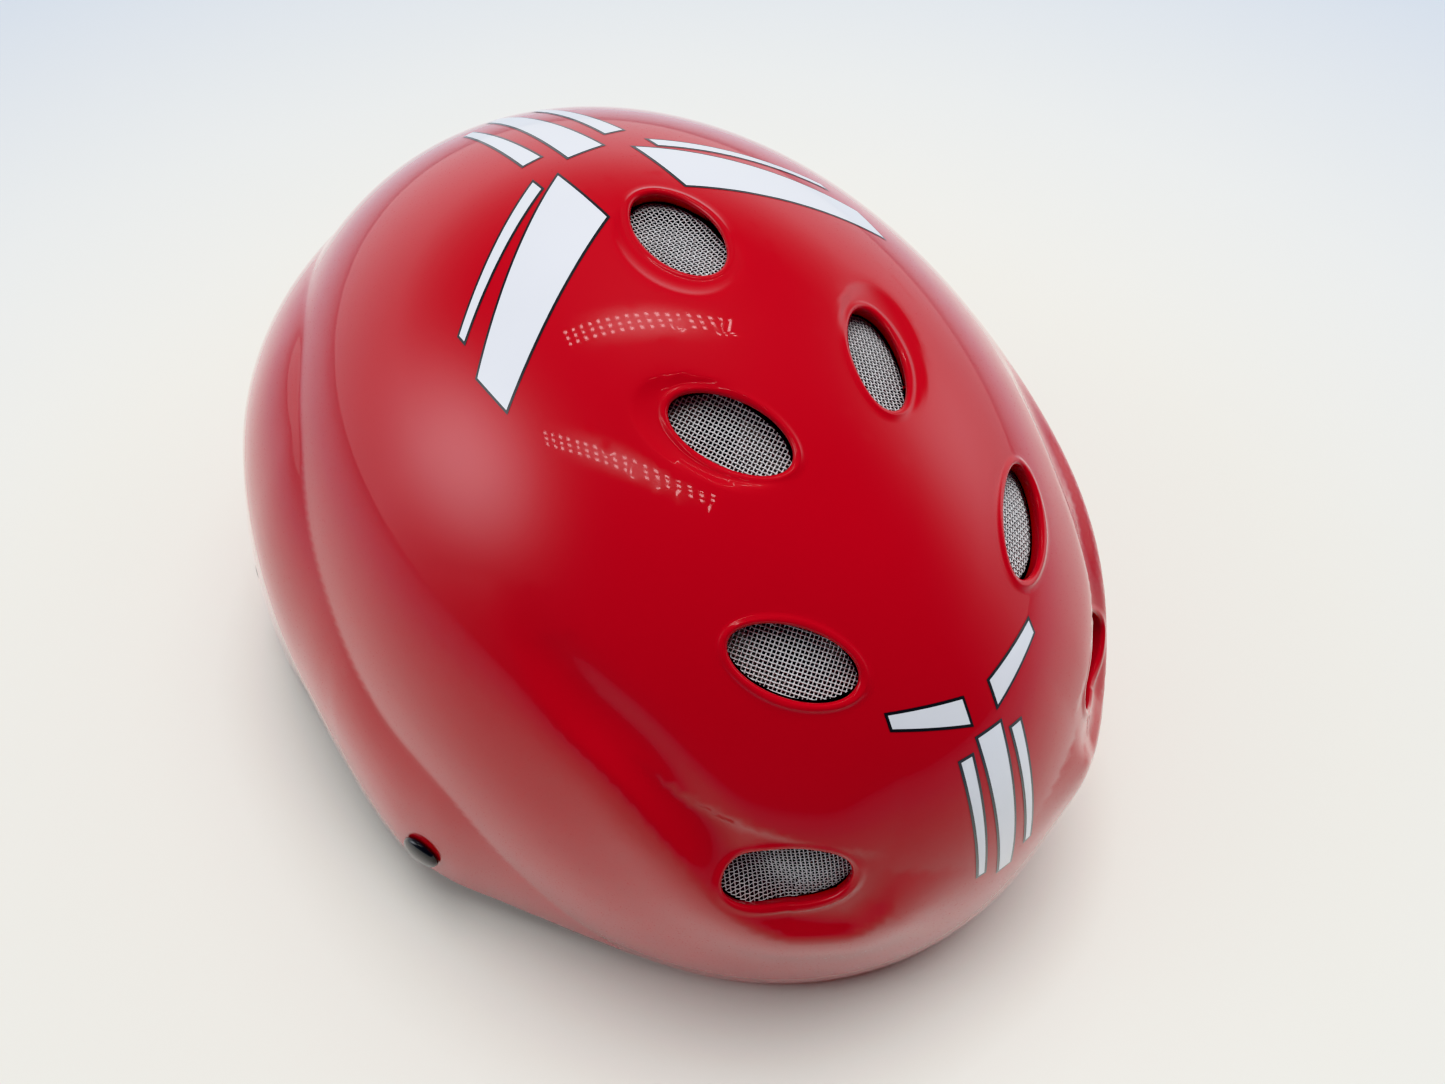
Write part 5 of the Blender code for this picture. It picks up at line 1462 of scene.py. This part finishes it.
def fill_light():
    """Large fill that lights every surface but doesn't show as a panel in the clear coat."""
    data = bpy.data.lights.new("overhead", "AREA")
    data.shape = "DISK"
    data.size = FILL_SIZE
    data.energy = FILL_POWER
    light = bpy.data.objects.new("overhead", data)
    light.location = FILL_PLACE
    light.rotation_euler = (-Vector(FILL_PLACE)).to_track_quat("-Z", "Y").to_euler()
    light.visible_glossy = False
    bpy.context.scene.collection.objects.link(light)


def glow(tree, towards, sharpness, strength):
    """Soft patch of light on the world's wall round a direction."""
    place = add_node(tree, "ShaderNodeTexCoord").outputs["Generated"]
    over = maths(tree, "MAXIMUM", dot(tree, place, Vector(towards).normalized()), 0.0)
    return multiply(tree, maths(tree, "POWER", over, sharpness), strength)


def make_world():
    """Pale room: a bright wall low down beyond the helmet, a dim ceiling, soft daylight from both sides."""
    world = bpy.data.worlds.new("studio")
    world.use_nodes = True
    tree = world.node_tree
    place = add_node(tree, "ShaderNodeTexCoord").outputs["Generated"]
    height = add_node(tree, "ShaderNodeSeparateXYZ", {"Vector": place}).outputs["Z"]
    low = to_range(tree, height, 1, 0, 0.30, 0.62)
    beyond = to_range(tree, dot(tree, place, WALL_DIRECTION), 0, 1, -0.45, 0.0)
    level = multiply(tree, multiply(tree, low, beyond), WALL_LEVEL)
    for patch in (CEILING_LEVEL, *(glow(tree, *spot) for spot in GLOWS)):
        level = maths(tree, "ADD", level, patch)
    feed(tree, tree.nodes["Background"], {"Color": (0.92, 0.95, 1.0, 1), "Strength": level})
    bpy.context.scene.world = world


def ceiling_light(name, start, end):
    """Slatted ceiling light that faces down: three rows of small bright cells in a soft band of light."""
    start, end = np.array(start), np.array(end)
    along = (end - start) / LOUVRE_CELLS
    across = unit_vectors(np.cross(along, [0, 0, 1.0]))
    side, reach = LOUVRE_SLAT / 2 * across, LOUVRE_OPEN / 2 * along
    cell = np.array([-side - reach, side - reach, side + reach, -side + reach])
    places = [
        start + along * (index + 0.5) + row * LOUVRE_PITCH * across
        for row in (-1, 0, 1)
        for index in range(LOUVRE_CELLS)
    ]
    faces = [tuple(range(4 * i, 4 * i + 4)) for i in range(len(places))]
    material, tree, shader = nodes_of(f"{name}_cells")
    feed(tree, shader, {"Emission Color": (1, 1, 1, 1), "Emission Strength": LOUVRE_LEVEL})
    points = np.concatenate([place + cell for place in places])
    build(f"{name}_cells", points, faces, material)
    half, above = LOUVRE_GLOW_WIDTH / 2 * across, np.array([0, 0, 0.01])
    corners = np.array([start - half, start + half, end + half, end - half]) + above
    panel = build(f"{name}_glow", corners, [(0, 1, 2, 3)], soft_panel(f"{name}_glow"))
    uv = panel.data.uv_layers.new(name="panel")
    uv.data.foreach_set("uv", (0.0, 0.0, 0.0, 1.0, 1.0, 1.0, 1.0, 0.0))


def soft_panel(name):
    """Light that is brightest along the middle of its panel and gone at the edges."""
    material, tree, shader = nodes_of(name)
    uv = add_node(tree, "ShaderNodeTexCoord").outputs["UV"]
    place = add_node(tree, "ShaderNodeSeparateXYZ", {"Vector": uv})
    level = LOUVRE_GLOW_LEVEL
    for axis in ("X", "Y"):
        share = place.outputs[axis]
        hump = multiply(tree, multiply(tree, share, maths(tree, "SUBTRACT", 1.0, share)), 4.0)
        level = multiply(tree, multiply(tree, hump, hump), level)
    clear = add_node(tree, "ShaderNodeBsdfTransparent").outputs[0]
    light = add_node(tree, "ShaderNodeEmission", {"Strength": level}).outputs[0]
    total = add_node(tree, "ShaderNodeAddShader", {0: clear, 1: light})
    tree.links.new(total.outputs[0], tree.nodes["Material Output"].inputs["Surface"])
    tree.nodes.remove(shader)
    return material


def make_stage():
    corners = FLOOR_HALF * np.array([(-1, -1, 0), (1, -1, 0), (1, 1, 0), (-1, 1, 0)])
    build("floor", corners, [(0, 1, 2, 3)], table_top())
    make_world()
    fill_light()
    for name, (start, end) in LOUVRES.items():
        ceiling_light(name, start, end)
    bpy.context.scene.view_settings.view_transform = "Khronos PBR Neutral"


def make_camera():
    data = bpy.data.cameras.new("camera")
    data.lens = CAMERA_LENS
    data.sensor_width = 36
    camera = bpy.data.objects.new("camera", data)
    camera.location = CAMERA_PLACE
    camera.rotation_euler = (math.radians(90 - CAMERA_TURN[0]), 0, math.radians(CAMERA_TURN[1]))
    bpy.context.scene.collection.objects.link(camera)
    bpy.context.scene.camera = camera


make_shell()
make_wire_cloth()
make_decals()
make_liner()
make_pads()
make_rivets()
make_harness()
make_hardware()
make_stage()
make_camera()
